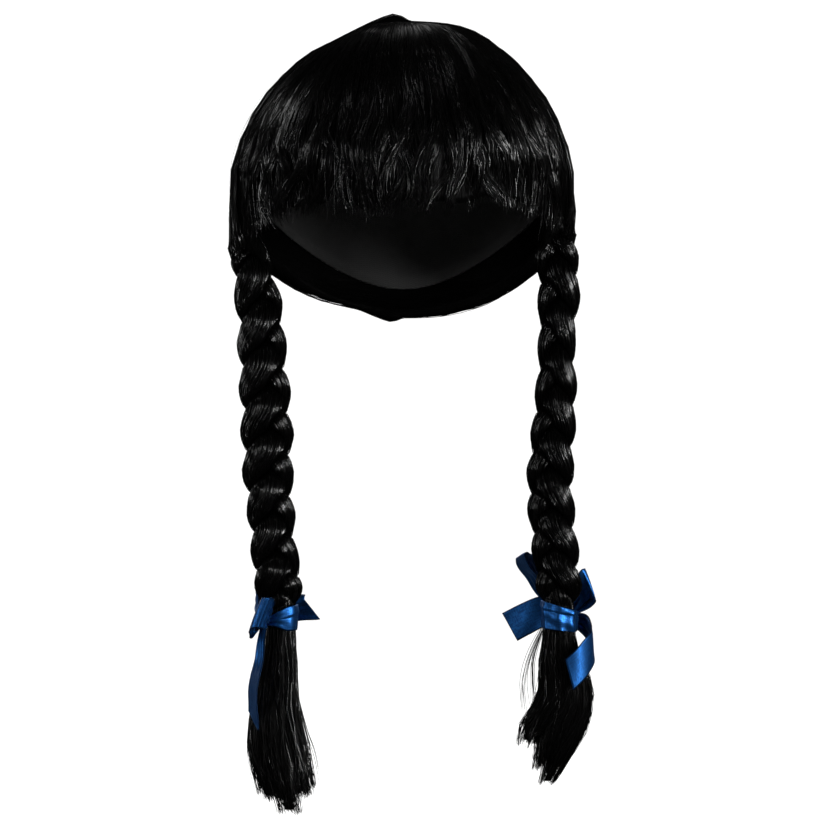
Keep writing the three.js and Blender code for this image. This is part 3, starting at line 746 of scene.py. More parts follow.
def hollow_body(name, grid, outside, inside):
    """A body with an outer and an inner wall, joined along their rims."""
    body = join(name, [shaped_grid("outer", *grid, outside), shaped_grid("inner", *grid, inside)])
    with edit_mode(body):
        bpy.ops.mesh.select_mode(type="EDGE")
        bpy.ops.mesh.select_all(action="DESELECT")
        bpy.ops.mesh.select_non_manifold()
        bpy.ops.mesh.bridge_edge_loops()
        bpy.ops.mesh.select_all(action="SELECT")
        bpy.ops.mesh.normals_make_consistent(inside=False)
    return body


def weld_tube(piece, with_ends):
    """Closes a grid that was rolled into a tube along its seam, and over its ends if asked."""
    with edit_mode(piece):
        bpy.ops.mesh.select_all(action="SELECT")
        bpy.ops.mesh.remove_doubles(threshold=SEAM_WIDTH)
        bpy.ops.mesh.select_all(action="SELECT")
        if with_ends:
            bpy.ops.mesh.fill_holes(sides=0)
            bpy.ops.mesh.select_all(action="SELECT")
        bpy.ops.mesh.normals_make_consistent(inside=False)


def thicken(piece, thickness):
    bpy.context.view_layer.objects.active = piece
    wall = piece.modifiers.new("wall", "SOLIDIFY")
    wall.thickness = thickness
    wall.offset = 0
    bpy.ops.object.modifier_apply(modifier=wall.name)


def make_strands(name, paths, radii, outward, shades):
    """Many strands as one mesh: three-sided tubes, closed at the root and drawn to a point at the tip.

    Each has one of two finishes, by how glossy it is.
    """
    count, steps, _ = paths.shape
    tangent = unit(np.gradient(paths, axis=1))
    sideways = unit(np.cross(tangent, outward))
    upright = np.cross(sideways, tangent)
    corner = np.radians(STRAND_CORNERS)
    rings = paths[:, :-1, None, :] + radii[:, :-1, None, None] * (
        np.cos(corner)[:, None] * sideways[:, :-1, None, :]
        + np.sin(corner)[:, None] * upright[:, :-1, None, :]
    )
    places = np.concatenate((rings.reshape(count, -1, 3), paths[:, -1:, :]), axis=1)
    each = places.shape[1]
    ring = np.arange(steps - 2)[:, None] * 3
    here = ring + np.arange(3)
    after = ring + (np.arange(3) + 1) % 3
    quads = np.stack((here, here + 3, after + 3, after), axis=-1).reshape(-1, 4)
    last = 3 * (steps - 2)
    tip = [(last + k, each - 1, last + (k + 1) % 3) for k in range(3)]
    triangles = np.array([(0, 1, 2)] + tip)
    first = np.arange(count)[:, None, None] * each
    corners = np.concatenate(((quads + first).ravel(), (triangles + first).ravel()))
    quad_starts = np.arange(count * len(quads)) * 4
    triangle_starts = count * len(quads) * 4 + np.arange(count * len(triangles)) * 3
    mesh = bpy.data.meshes.new(name)
    mesh.vertices.add(count * each)
    mesh.vertices.foreach_set("co", places.ravel())
    mesh.loops.add(len(corners))
    mesh.loops.foreach_set("vertex_index", corners.astype(np.int32))
    mesh.polygons.add(len(quad_starts) + len(triangle_starts))
    mesh.polygons.foreach_set("loop_start", np.concatenate((quad_starts, triangle_starts)).astype(np.int32))
    glossy = np.asarray(shades) > GLOSSY_FROM
    finishes = np.concatenate((np.repeat(glossy, len(quads)), np.repeat(glossy, len(triangles))))
    mesh.polygons.foreach_set("material_index", finishes.astype(np.int32))
    mesh.update(calc_edges=True)
    mesh.shade_smooth()
    shade = mesh.attributes.new("shade", "FLOAT", "POINT")
    shade.data.foreach_set("value", np.repeat(shades, each).astype(np.float32))
    mesh.materials.append(DULL_STRANDS)
    mesh.materials.append(GLOSSY_STRANDS)
    piece = bpy.data.objects.new(name, mesh)
    bpy.context.collection.objects.link(piece)
    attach(piece, "root")


def strand_radii(rng, form, radius, count, steps):
    """How thick each of many strands is along its length."""
    along = np.linspace(0, 1, steps)
    root, tip = form["taper"]
    at_root, at_tip = TAPER_SPANS
    taper = lerp(root, 1, smoothstep(along, *at_root)) * lerp(1, tip, smoothstep(along, *at_tip))
    return radius * rng.uniform(*form["thickness"], (count, 1)) * taper


def set_piece(piece, material, node):
    piece.data.materials.append(material)
    piece.data.shade_smooth()
    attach(piece, "root")
    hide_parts(node)


# Finishes
def new_finish(name):
    material = bpy.data.materials.new(name)
    material.use_nodes = True
    tree = material.node_tree
    return material, tree, tree.nodes["Principled BSDF"]


def set_inputs(tree, node, inputs):
    """Sets each input of a node to a value, or links it to another node's output."""
    for key, value in inputs.items():
        if isinstance(value, bpy.types.NodeSocket):
            tree.links.new(value, node.inputs[key])
        else:
            node.inputs[key].default_value = value


def add_node(tree, kind, inputs):
    node = tree.nodes.new(kind)
    set_inputs(tree, node, inputs)
    return node


def add_math(tree, operation, *values):
    node = tree.nodes.new("ShaderNodeMath")
    node.operation = operation
    set_inputs(tree, node, dict(enumerate(values)))
    return node.outputs["Value"]


def map_range(tree, value, given, wanted):
    ends = {"From Min": given[0], "From Max": given[1], "To Min": wanted[0], "To Max": wanted[1]}
    return add_node(tree, "ShaderNodeMapRange", {"Value": value, **ends}).outputs["Result"]


def colour_ramp(tree, value, stops):
    ramp = add_node(tree, "ShaderNodeValToRGB", {"Fac": value})
    for element, (place, colour) in zip(ramp.color_ramp.elements, stops):
        element.position = place
        element.color = (*colour, 1)
    return ramp.outputs["Color"]


def bump(tree, height, strength, distance):
    inputs = {"Height": height, "Strength": strength, "Distance": distance}
    return add_node(tree, "ShaderNodeBump", inputs).outputs["Normal"]


def fine_lines(tree, across, along, detail):
    """Uneven lines on the UV map: this many across one unit of it and along one unit."""
    place = add_node(tree, "ShaderNodeUVMap", {}).outputs["UV"]
    stretch = add_node(tree, "ShaderNodeMapping", {"Vector": place, "Scale": (across, along, 1)})
    inputs = {"Vector": stretch.outputs["Vector"], "Scale": 1, "Detail": detail}
    return add_node(tree, "ShaderNodeTexNoise", inputs).outputs["Fac"]


def strand_finish(name, smooth, rough, specular):
    """Black fibre, each strand a little different in tint and gloss."""
    material, tree, shader = new_finish(name)
    attribute = tree.nodes.new("ShaderNodeAttribute")
    attribute.attribute_name = "shade"
    shade = attribute.outputs["Fac"]
    tints = ((0.0, (0.0003, 0.0003, 0.0003)), (1.0, (0.0013, 0.0012, 0.0012)))
    set_inputs(tree, shader, {
        "Base Color": colour_ramp(tree, shade, tints),
        "Roughness": map_range(tree, shade, (0, 1), (rough, smooth)),
        "Specular IOR Level": specular,
    })
    return material


def hair_mass_finish():
    """The body of hair under the loose strands: fine lines that run with the hair."""
    material, tree, shader = new_finish("black_hair_mass")
    lines = fine_lines(tree, across=260, along=5, detail=3)
    tints = ((0.3, (0.0002, 0.0002, 0.0002)), (0.75, (0.0008, 0.0008, 0.0008)))
    set_inputs(tree, shader, {
        "Base Color": colour_ramp(tree, lines, tints),
        "Roughness": map_range(tree, lines, (0, 1), (0.42, 0.3)),
        "Normal": bump(tree, lines, strength=0.8, distance=0.0006),
        "Specular IOR Level": 0.015,
    })
    return material


def net_finish():
    """The cap's knitted net: a fine diamond mesh."""
    material, tree, shader = new_finish("cap_net")
    place = add_node(tree, "ShaderNodeTexCoord", {}).outputs["UV"]
    diagonal = (0, 0, math.radians(45))
    turned = add_node(tree, "ShaderNodeMapping", {"Vector": place, "Rotation": diagonal})
    cells = add_node(tree, "ShaderNodeTexBrick", {
        "Vector": turned.outputs["Vector"],
        "Scale": 110,
        "Mortar Size": 0.06,
        "Brick Width": 0.5,
        "Row Height": 0.5,
        "Color1": (0.0012, 0.0012, 0.0012, 1),
        "Color2": (0.002, 0.002, 0.002, 1),
        "Mortar": (0.006, 0.006, 0.006, 1),
    })
    cells.offset = 0
    set_inputs(tree, shader, {
        "Base Color": cells.outputs["Color"],
        "Normal": bump(tree, cells.outputs["Fac"], strength=0.6, distance=0.0004),
        "Roughness": 0.85,
    })
    return material


def woven_edge(tree):
    """1 over the ribbon, falling off over the narrow woven edge on each side."""
    place = add_node(tree, "ShaderNodeUVMap", {}).outputs["UV"]
    parts = add_node(tree, "ShaderNodeSeparateXYZ", {"Vector": place})
    from_edge = add_math(tree, "PINGPONG", parts.outputs["X"], 0.5)
    return map_range(tree, from_edge, (0.02, 0.05), (0.15, 1.0))


def satin_finish():
    """Royal blue satin: a fine weave, a darker woven edge and a streaky gloss."""
    material, tree, shader = new_finish("blue_satin_ribbon")
    weft = fine_lines(tree, across=7, along=30, detail=2)
    warp = fine_lines(tree, across=28, along=4, detail=2)
    weave = add_math(tree, "MULTIPLY_ADD", weft, 0.5, add_math(tree, "MULTIPLY", warp, 0.5))
    tints = ((0.41, (0.005, 0.036, 0.125)), (0.59, (0.009, 0.071, 0.238)))
    darker = tree.nodes.new("ShaderNodeMix")
    darker.data_type = "RGBA"
    darker.blend_type = "MULTIPLY"
    set_inputs(tree, darker, {"Factor": 1, "A": colour_ramp(tree, weave, tints), "B": woven_edge(tree)})
    set_inputs(tree, shader, {
        "Base Color": darker.outputs["Result"],
        "Roughness": map_range(tree, weave, (0.4, 0.6), (0.46, 0.34)),
        "Normal": bump(tree, weave, strength=0.4, distance=0.0002),
        "Metallic": 0.93,
        "Sheen Weight": 0.1,
        "Sheen Roughness": 0.35,
        "Sheen Tint": (0.12, 0.34, 0.85, 1),
    })
    return material


DULL_STRANDS = strand_finish("black_hair_dull_strands", smooth=0.24, rough=0.34, specular=0.07)
GLOSSY_STRANDS = strand_finish("black_hair_glossy_strands", smooth=0.15, rough=0.28, specular=0.62)
HAIR_MASS = hair_mass_finish()
NET = net_finish()
SATIN = satin_finish()


# The cap
def make_cap():
    rings = CAP_GRID["rings"]
    bpy.ops.object.select_all(action="DESELECT")
    bpy.ops.mesh.primitive_uv_sphere_add(segments=CAP_GRID["segments"], ring_count=rings + 1, radius=1)
    cap = bpy.context.object
    cap.name = "net_cap"
    with edit_mode(cap):
        bpy.ops.mesh.select_all(action="DESELECT")
    for vertex in cap.data.vertices:
        vertex.select = vertex.co.z < SEAM_WIDTH - 1
    with edit_mode(cap):
        bpy.ops.mesh.select_mode(type="VERT")
        bpy.ops.mesh.delete(type="VERT")
    ball = vertex_places(cap)
    share = np.arccos(np.clip(ball[:, 2], -1, 1)) / math.pi * (rings + 1) / rings
    azimuth = np.arctan2(ball[:, 0], -ball[:, 1])
    forward = np.cos(azimuth)
    far = np.where(forward > 0, CAP_RIM["front"], CAP_RIM["back"])
    rim_height = lerp(CAP_RIM["side"], far, forward**2)
    polar = np.arccos((rim_height - HEAD_CENTRE[2]) / HEAD_AXES[2]) * share
    way = points(np.sin(polar) * np.sin(azimuth), -np.sin(polar) * np.cos(azimuth), np.cos(polar))
    cap.data.vertices.foreach_set("co", on_head(way, np.full(share.shape, CAP_WALL / 2)).ravel())
    cap.data.update()
    thicken(cap, CAP_WALL)
    set_piece(cap, NET, "wig_cap")


# Side hair, fringe and their strands
def make_side_hair(name, half, rng):
    crowding = SIDE_STRANDS["crowding"]

    def outside(across, along):
        return side_hair(half, across, along**crowding, np.full(across.shape, -BODY_SUNK))

    def inside(across, along):
        return side_hair_inside(half, across, along**crowding)

    body = hollow_body(f"side_hair_{name}", SIDE_GRID, outside, inside)
    set_piece(body, HAIR_MASS, f"crown_hair_{name}")
    make_side_strands(name, half, rng)


def make_side_strands(name, half, rng):
    form = SIDE_STRANDS
    count = form["count"]
    locks = form["locks"]
    steps = form["steps"]
    along = np.linspace(0, 1, steps)[None, :] ** form["crowding"]
    lock = np.arange(count) % locks
    middle = (np.arange(locks) + rng.uniform(*LOCK_MIDDLE, locks)) / locks
    beside = rng.uniform(-1, 1, (count, 1))
    grown = smoothstep(along, *form["grown_span"]) * (1 - form["gathered"] * smoothstep(along, LEAVING, 1))
    swing = lock_waves(rng, locks, along, *form["lock_swing"]) * grown
    in_out = lock_waves(rng, locks, along, *form["lock_lift"]) * grown
    height = rng.uniform(*form["lock_height"], locks)
    across = middle[lock][:, None] + beside * form["lock_width"] / locks + swing[lock]
    across = across + waves(rng, count, steps, *form["swing"]) * grown
    rounding = form["lock_round"] * np.sqrt(1 - beside**2) * grown
    lift = in_out[lock] + rounding + height[lock][:, None] * grown
    lift = lift + rng.uniform(*form["height"], (count, 1))
    lift = lift + waves(rng, count, steps, *form["lift"]) * grown
    paths = side_hair(half, np.clip(across, 0, 1), along + 0 * across, lift)
    radii = strand_radii(rng, form, STRAND_RADIUS, count, steps)
    in_front = 1 - smoothstep(middle[lock], *form["front_span"])
    shades = lock_shades(rng, locks, lock) + form["front_gloss"] * in_front
    make_strands(f"side_strands_{name}", paths, radii, paths - HEAD_CENTRE, shades)


def make_fringe(rng):
    locks = FRINGE_STRANDS["locks"]
    middle = (np.arange(locks) + rng.uniform(*LOCK_MIDDLE, locks)) / locks * 2 - 1
    lengths = rng.normal(0, FRINGE_STRANDS["lock_length"], locks)

    def hang(swing):
        return np.interp(swing, middle, lengths) - FRINGE_BODY["shorter"]

    def outside(across, along):
        swing = 2 * across - 1
        thinner = FRINGE_BODY["thin_outside"] * smoothstep(along, *FRINGE_BODY["thin_span"])
        return fringe_hair(swing, along, hang(swing), fringe_rise(swing, along) - BODY_SUNK - thinner)

    def inside(across, along):
        swing = 2 * across - 1
        thinner = FRINGE_BODY["thin_inside"] * smoothstep(along, *FRINGE_BODY["thin_span"])
        return fringe_hair(swing, along, hang(swing), HAIR_INSIDE + thinner)

    body = hollow_body("fringe_body", FRINGE_GRID, outside, inside)
    set_piece(body, HAIR_MASS, "fringe")
    make_fringe_strands(middle, lengths, rng)
    make_fringe_wisps(rng)


def make_fringe_strands(middle, lengths, rng):
    form = FRINGE_STRANDS
    count = form["count"]
    locks = form["locks"]
    steps = form["steps"]
    even = np.append(np.linspace(0, form["last_step"], steps - 1), 1)[None, :]
    along = 1 - (1 - even) ** form["crowding"]
    lock = np.arange(count) % locks
    beside = rng.uniform(-1, 1, (count, 1))
    sweep = np.interp(middle, *FRINGE_SWEEP) + rng.normal(0, form["sweep"], locks)
    grown = smoothstep(along, *form["grown_span"])
    drawn = smoothstep(along, *form["drawn_span"])
    swing = lock_waves(rng, locks, along, *form["lock_swing"]) * grown
    swing = swing + sweep[:, None] * smoothstep(along, *form["sweep_span"]) ** form["sweep_bend"]
    in_out = lock_waves(rng, locks, along, *form["lock_lift"]) * grown
    height = rng.uniform(*form["lock_height"], locks)
    follow = rng.uniform(*form["follow"], (count, 1))
    place = middle[lock][:, None] + beside * lerp(*form["lock_width"], drawn) / locks + swing[lock] * follow
    drift = lock_waves(rng, locks, along, *form["lock_drift"]) * smoothstep(along, *form["drift_span"])
    place = place + drift[lock]
    place = place + waves(rng, count, steps, *form["swing"]) * smoothstep(along, *form["swing_span"])
    rounding = form["lock_round"] * np.sqrt(1 - beside**2) * grown
    turned_in = rng.uniform(*form["turned_in"], (count, 1)) * smoothstep(along, *form["turned_span"])
    lift = in_out[lock] + rounding + height[lock][:, None] * grown - turned_in
    lift = lift + rng.uniform(*form["height"], (count, 1))
    lift = lift + waves(rng, count, steps, *form["lift"]) * grown
    longer = lengths[lock][:, None] + rng.normal(-form["shorter"], form["length"], (count, 1))
    paths = fringe_hair(place, along + 0 * place, longer + 0 * place, fringe_rise(place, along) + lift)
    radii = strand_radii(rng, form, STRAND_RADIUS, count, steps)
    shades = lock_shades(rng, locks, lock)
    make_strands("fringe_strands", paths, radii, paths - HEAD_CENTRE, shades)


def make_fringe_wisps(rng):
    """Single hairs that hang past the edge of the fringe and curl away from it."""
    form = FRINGE_WISPS
    count = form["count"]
    steps = form["steps"]
    along = np.linspace(form["start"], 1, steps)[None, :]
    low = smoothstep(along, *form["curl_span"])
    swing = rng.uniform(-1, 1, (count, 1))
    curl = rng.normal(-form["to_right"], form["curl"], (count, 1)) * low ** form["curl_bend"]
    longer = rng.exponential(form["longer"], (count, 1))
    lift = rng.uniform(*form["height"], (count, 1)) - rng.uniform(*form["turned_in"], (count, 1)) * low
    place = swing + curl + waves(rng, count, steps, *form["swing"])
    paths = fringe_hair(place, along + 0 * swing, longer + 0 * place, fringe_rise(place, along) + lift)
    radii = strand_radii(rng, form, STRAY_RADIUS, count, steps)
    make_strands("fringe_wisps", paths, radii, paths - HEAD_CENTRE, rng.random(count))


def make_crown_flyaways(rng):
    """Fine single hairs that stand a little off the crown."""
    form = CROWN_FLYAWAYS
    count = form["count"]
    steps = form["steps"]
    share = np.linspace(0, 1, steps)[None, :]
    every = []
    for half in HALVES.values():
        start = rng.uniform(*form["start"], (count, 1))
        end = start + rng.uniform(*form["length"], (count, 1))
        across = rng.uniform(0, 1, (count, 1)) + waves(rng, count, steps, *form["swing"])
        lift = rng.exponential(form["height"], (count, 1)) * np.sin(math.pi * form["bow"] * share)
        every.append(side_hair(half, np.clip(across, 0, 1), lerp(start, end, share), lift))
    paths = np.concatenate(every)
    radii = strand_radii(rng, form, STRAY_RADIUS, len(paths), steps)
    make_strands("crown_flyaways", paths, radii, paths - HEAD_CENTRE, rng.random(len(paths)))


# Plaits
def make_plait(name, half, rng):
    top = half["plait"][0][0] - HIDDEN_START
    bottom = half["plait"][-1][0]
    form = PLAIT_FIBRES
    paths = []
    outwards = []
    for strand in range(3):
        def skin(across, along, strand=strand):
            sunk = np.full(across.shape, -PLAIT_SUNK)
            return strand_surface(half, strand, lerp(top, bottom, along), 2 * math.pi * across, sunk)[0]

        body = shaped_grid(f"plait_{name}_lock_{strand + 1}", *PLAIT_GRID, skin)
        weld_tube(body, with_ends=True)
        set_piece(body, HAIR_MASS, f"plait_{name}_strand_{strand + 1}")
        runs, out = plait_fibres(half, strand, top, bottom, rng)
        paths.append(runs)
        outwards.append(out)
    paths = np.concatenate(paths)
    count, steps, _ = paths.shape
    radii = strand_radii(rng, form, STRAND_RADIUS, count, steps)
    shades = rng.random(count) ** form["gloss"]
    make_strands(f"plait_{name}_fibres", paths, radii, np.concatenate(outwards), shades)


def plait_fibres(half, strand, top, bottom, rng):
    """Fibres along one strand, each only where the strand lies bare, with its ends tucked in."""
    form = PLAIT_FIBRES
    count = form["count"]
    rings = form["rings"]
    row = np.arange(rings)
    drop = np.linspace(top, bottom, rings)[None, :]
    angle = (np.arange(count) + rng.random(count))[:, None] * 2 * math.pi / count
    angle = angle + waves(rng, count, rings, *form["swing"])
    lift = rng.uniform(*form["height"], (count, 1)) + waves(rng, count, rings, *form["lift"])
    place, out, bare = strand_surface(half, strand, drop + 0 * angle, angle, lift)
    runs = []
    outs = []
    for fibre in range(count):
        shown = np.concatenate(([False], bare[fibre] > -form["tuck"], [False]))
        change = np.flatnonzero(shown[1:] != shown[:-1])
        for start, end in zip(change[::2], change[1::2]):
            if end - start < form["shortest"]:
                continue
            at = np.linspace(start, end - 1, form["steps"])
            for found, places in ((runs, place), (outs, out)):
                found.append(np.stack([np.interp(at, row, places[fibre, :, k]) for k in range(3)], axis=-1))
    return np.array(runs), np.array(outs)


# Tails
def tail_lock_body(tail, lock, top):
    *_, end = lock

    def skin(across, along):
        drop = lerp(top, end - TAIL_BODY["shorter"], along)
        closing = np.sqrt(1 - smoothstep(along, TAIL_TIP, 1))
        girth = np.maximum(TAIL_BODY["tip_girth"], closing) * TAIL_BODY["girth"]
        return tail_hair(tail, lock, drop, 2 * math.pi * across, girth)

    body = shaped_grid("lock", *TAIL_GRID, skin)
    weld_tube(body, with_ends=True)
    return body


def tail_lock_strands(tail, lock, top, rng):
    """The strands of one lock, and which way each faces along its length."""
    form = TAIL_STRANDS
    count = form["count"]
    steps = form["steps"]
    even = np.append(np.linspace(0, form["last_step"], steps - 1), 1)[None, :]
    along = even + rng.uniform(-form["uneven"], form["uneven"], (count, 1)) * even * (1 - even)
    angle = rng.uniform(0, 2 * math.pi, (count, 1))
    clump = (angle / (2 * math.pi) * form["clumps"]).astype(int)
    clump_longer = rng.normal(0, form["clump_length"], form["clumps"])[clump]
    *_, lock_end = lock
    end = lock_end + clump_longer + rng.normal(-form["shorter"], form["length"], (count, 1))
    loose = smoothstep(along, *form["loose_span"])
    drawn = lerp(1, form["tip_girth"], smoothstep(along, TAIL_TIP, 1))
    girth = rng.uniform(*form["girth"], (count, 1)) * drawn
    girth = girth + waves(rng, count, steps, *form["girth_waves"]) * loose
    sway = waves(rng, count, steps, *form["swing"]) + waves(rng, count, steps, *form["fine_swing"])
    twist = angle + sway * loose
    path = tail_hair(tail, lock, lerp(top, end, along), twist, girth)
    return path, points(np.cos(twist), np.sin(twist), 0 * twist)


def tail_strays(tail, steps, rng):
    """A few single hairs along each course of strays, closer together at its start."""
    form = TAIL_STRAYS
    size = (form["count"], 1)
    every = []
    share = np.linspace(0, 1, steps)[None, :]
    for course in tail["strays"]:
        rows = [(float(key), *place) for key, place in enumerate(course)]
        x, drop = table_curve(rows, share * (len(course) - 1))
        apart = rng.normal(0, form["apart"], size) * lerp(form["root_apart"], 1, share)
        lower = rng.normal(0, form["lower"], size) * share
        _, _, y, *_ = tail["course"][form["beside_row"]]
        deep = y + rng.normal(0, form["deep"], size) + 0 * share
        every.append(points(x + apart, deep, -drop - lower))
    return np.concatenate(every)


def make_tail(name, tail, rng):
    top = tail["course"][0][0]
    steps = TAIL_STRANDS["steps"]
    bodies = []
    paths = []
    outwards = []
    for lock in tail["locks"]:
        bodies.append(tail_lock_body(tail, lock, top))
        path, out = tail_lock_strands(tail, lock, top, rng)
        paths.append(path)
        outwards.append(out)
    body = join(f"tail_{name}_body", bodies)
    set_piece(body, HAIR_MASS, f"tail_{name}")
    paths = np.concatenate(paths)
    strays = tail_strays(tail, steps, rng)
    outwards.append(np.broadcast_to((0.0, -1.0, 0.0), strays.shape))
    radii = np.concatenate((
        strand_radii(rng, TAIL_STRANDS, STRAND_RADIUS, len(paths), steps),
        strand_radii(rng, TAIL_STRAYS, STRAY_RADIUS, len(strays), steps),
    ))
    shades = rng.random(len(radii)) ** (1 / tail["gloss"])
    every = np.concatenate((paths, strays))
    make_strands(f"tail_{name}_strands", every, radii, np.concatenate(outwards), shades)


# Ribbons
def scale_weave(piece, wide, long):
    """Makes the weave's scale true: one unit of the UV map is one width of the ribbon."""
    layer = piece.data.uv_layers[0]
    places = np.empty(2 * len(layer.data))
    layer.data.foreach_get("uv", places)
    places = places.reshape(-1, 2) * (wide / RIBBON_WIDTH, long / RIBBON_WIDTH)
    layer.data.foreach_set("uv", places.ravel())


def strip_length(rows):
    return float(np.sum(np.linalg.norm(np.diff(rows[:, :3], axis=0), axis=1)))


def ribbon_strip(name, rows, form, steps):
    """A strip through its rows, pleated where it is narrow, with creases and ripples along it."""
    table = np.column_stack((np.arange(len(rows)), rows))
    step = STRIP_FORM["step"]

    def middle(at):
        return np.stack(table_curve(table, at)[:3], axis=-1)

    def lay(across, along):
        at = along * (len(rows) - 1)
        columns = table_curve(table, at)
        wide = np.clip(columns[3], STRIP_FORM["narrowest"], 1)
        level = unit(np.stack(columns[4:], axis=-1))
        tangent = unit(middle(at + step) - middle(at - step))
        normal = unit(np.cross(tangent, level))
        edge = 2 * across - 1
        half = RIBBON_WIDTH / 2 * wide
        cut = form["slant"] * RIBBON_WIDTH / 2 * smoothstep(along, *STRIP_FORM["cut_span"])
        pleat = np.sin(2 * math.pi * PLEAT["waves"] * edge + PLEAT["start"])
        pleat = PLEAT["depth"] * np.sqrt(1 - wide) * pleat
        bend = CREASE["bend"] * np.sin(CREASE["bend_rate"] * edge)
        crease = CREASE["depth"] * np.sin(2 * math.pi * form["creases"] * along + bend)
        ripple = RIPPLE["depth"] * np.sin(RIPPLE["along"] * along + RIPPLE["across"] * edge)
        out = pleat + (ripple + crease) * wide
        return (
            middle(at)
            + level * (edge * half)[:, None]
            + tangent * (edge * cut)[:, None]
            + normal * out[:, None]
        )

    strip = shaped_grid(name, STRIP_FORM["columns"], steps, lay)
    scale_weave(strip, RIBBON_WIDTH, strip_length(rows))
    thicken(strip, RIBBON_THICKNESS)
    return strip


def make_wrap(name, bow, centre):
    """The turn of ribbon round the plait, drawn together at the knot, with its upper layer folded over."""
    form = bow["wrap"]
    knot_angle = math.atan2(bow["knot"]["at"][1], bow["knot"]["at"][0])

    def lay(across, along):
        angle = knot_angle + 2 * math.pi * along
        away = np.abs(np.angle(np.exp(1j * (angle - knot_angle))))
        tall = lerp(form["neck"], 1, smoothstep(away, *WRAP_NECK_SPAN))
        height = lerp(*form["height"], 0.5 + 0.5 * np.cos(angle))
        fold_line = form["layer"] + WRAP_LAYER["wander"] * np.sin(angle + WRAP_LAYER["start"])
        on_layer = smoothstep(across - fold_line, -WRAP_LAYER["half_step"], WRAP_LAYER["half_step"])
        swell = WRAP_SWELL * np.sin(math.pi * across)
        upright = np.sin(WRAP_FOLDS["round"] * angle + np.sin(WRAP_FOLDS["bend"] * across))
        slanted = np.sin(WRAP_FOLDS["up"] * across + WRAP_FOLDS["slant_round"] * angle)
        folds = WRAP_FOLDS["upright"] * upright + WRAP_FOLDS["slanted"] * slanted
        pleat = WRAP_PLEAT["depth"] * (1 - tall) * np.sin(2 * math.pi * WRAP_PLEAT["waves"] * across)
        radius = WRAP_INSIDE + RIBBON_THICKNESS + WRAP_LAYER["thickness"] * on_layer
        radius = radius + swell + form["crinkle"] * folds + pleat
        return centre + points(
            radius * np.cos(angle),
            radius * np.sin(angle),
            (across - 0.5) * height * tall + form["slope"] * radius * np.cos(angle),
        )

    wrap = shaped_grid(f"bow_{name}_wrap", *WRAP_GRID, lay)
    weld_tube(wrap, with_ends=False)
    scale_weave(wrap, form["height"][0], 2 * math.pi * WRAP_INSIDE)
    thicken(wrap, RIBBON_THICKNESS)
    set_piece(wrap, SATIN, f"ribbon_{name}_wrap")
    return wrap


def make_knot(name, bow, centre):
    """The knot: ribbon drawn tight round the roots of the loops, with creases along it."""
    form = bow["knot"]
    yaw = math.radians(form["yaw"])
    along_knot = np.array((math.cos(yaw), math.sin(yaw), 0))
    through = np.array((-math.sin(yaw), math.cos(yaw), 0))
    upright = np.array((0, 0, 1))

    def lay(across, along):
        angle = 2 * math.pi * across
        end = 2 * along - 1
        narrowed = (1 - KNOT["narrows"] * end**4) * np.sqrt(np.clip(1 - end**8, 0, 1))
        crease = np.sin(2 * math.pi * KNOT["creases"] * along + KNOT["bend"] * np.sin(angle))
        size = form["size"] * narrowed * (1 + KNOT["crease"] * crease)
        return (
            centre
            + form["at"]
            + along_knot * (form["size"] / 2 * end)[:, None]
            + through * (KNOT["half_depth"] * size * np.cos(angle))[:, None]
            + upright * (KNOT["half_height"] * size * np.sin(angle))[:, None]
        )

    knot = shaped_grid(f"bow_{name}_knot", *KNOT_GRID, lay)
    weld_tube(knot, with_ends=True)
    set_piece(knot, SATIN, f"ribbon_{name}_knot")
    return knot


def make_bow(name, bow):
    centre = np.array(bow["centre"])
    wrap = make_wrap(name, bow, centre)
    knot = make_knot(name, bow, centre)
    for part, form in bow["strips"].items():
        kind, _ = part.split("_")
        held, steps = STRIP_KINDS[kind]
        rows = np.array(form["course"])
        rows[:, :3] += centre
        strip = ribbon_strip(f"bow_{name}_{part}", rows, form, steps)
        set_piece(strip, SATIN, f"ribbon_{name}_{part}")


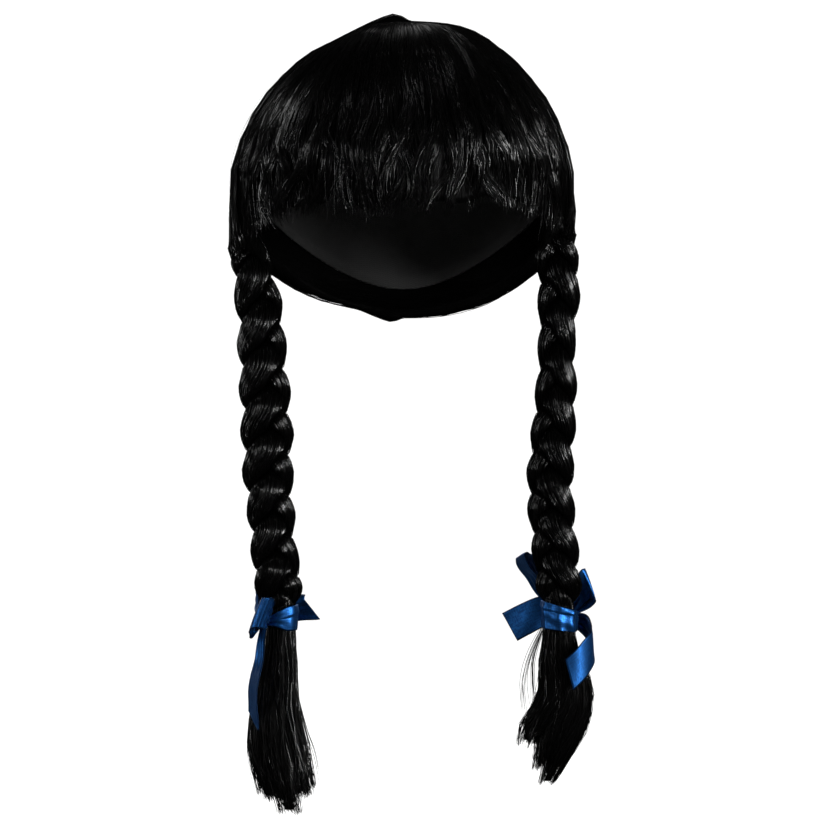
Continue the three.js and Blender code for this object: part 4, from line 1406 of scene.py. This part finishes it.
# Floor, light and camera
def make_stage():
    bpy.ops.object.select_all(action="DESELECT")
    floor_place = (0, -FLOOR["forward"], -FLOOR["drop"])
    bpy.ops.mesh.primitive_plane_add(size=FLOOR["size"], location=floor_place)
    floor = bpy.context.object
    floor.name = "floor"
    bpy.ops.object.transform_apply(location=True, rotation=True, scale=True)
    with edit_mode(floor):
        bpy.ops.mesh.select_mode(type="EDGE")
        bpy.ops.mesh.select_all(action="DESELECT")
    back = max(vertex.co.y for vertex in floor.data.vertices)
    for edge in floor.data.edges:
        nearest = min(floor.data.vertices[k].co.y for k in edge.vertices)
        edge.select = nearest > back - SEAM_WIDTH
    with edit_mode(floor):
        bpy.ops.mesh.spin(
            steps=FLOOR["sweep_steps"],
            angle=math.radians(-90),
            center=(0, back, FLOOR["sweep"] - FLOOR["drop"]),
            axis=(1, 0, 0),
        )
        bpy.ops.mesh.extrude_region_move(TRANSFORM_OT_translate={"value": (0, 0, FLOOR["wall"])})
    floor.data.shade_smooth()
    material, tree, shader = new_finish("pale_floor")
    pale = {"Base Color": (0.96, 0.96, 0.96, 1), "Roughness": 0.9, "Specular IOR Level": 0}
    set_inputs(tree, shader, pale)
    floor.data.materials.append(material)
    floor.visible_glossy = False


def make_light():
    world = bpy.data.worlds.new("studio")
    bpy.context.scene.world = world
    world.use_nodes = True
    tree = world.node_tree
    mirrored = add_node(tree, "ShaderNodeLightPath", {}).outputs["Is Glossy Ray"]
    strength = map_range(tree, mirrored, (0, 1), (SKY["seen"], SKY["mirrored"]))
    set_inputs(tree, tree.nodes["Background"], {"Color": (1, 1, 1, 1), "Strength": strength})
    for name, place, size, power in LAMPS:
        data = bpy.data.lights.new(name, "AREA")
        data.size = size
        data.energy = power
        lamp = bpy.data.objects.new(name, data)
        bpy.context.collection.objects.link(lamp)
        aim = np.array(LAMP_AIM) - np.array(place)
        tilt = math.atan2(math.hypot(aim[0], aim[1]), -aim[2])
        turn = math.atan2(aim[1], aim[0]) - math.pi / 2
        lamp.location = place
        lamp.rotation_euler = (tilt, 0, turn)


def make_camera():
    data = bpy.data.cameras.new("camera")
    data.sensor_width = CAMERA["sensor"]
    data.lens = CAMERA["lens"]
    camera = bpy.data.objects.new("camera", data)
    bpy.context.collection.objects.link(camera)
    camera.location = CAMERA["place"]
    camera.rotation_euler = (math.pi / 2, 0, 0)
    bpy.context.scene.camera = camera


make_camera()
make_stage()
make_light()
make_cap()
make_fringe(np.random.default_rng(SEEDS["fringe"]))
make_crown_flyaways(np.random.default_rng(SEEDS["flyaways"]))
for number, side_name in enumerate(HALVES):
    make_side_hair(side_name, HALVES[side_name], np.random.default_rng(SEEDS["side"] + number))
    make_plait(side_name, HALVES[side_name], np.random.default_rng(SEEDS["plait"] + number))
    make_tail(side_name, TAILS[side_name], np.random.default_rng(SEEDS["tail"] + number))
    make_bow(side_name, BOWS[side_name])

bpy.context.scene.view_settings.view_transform = "Standard"
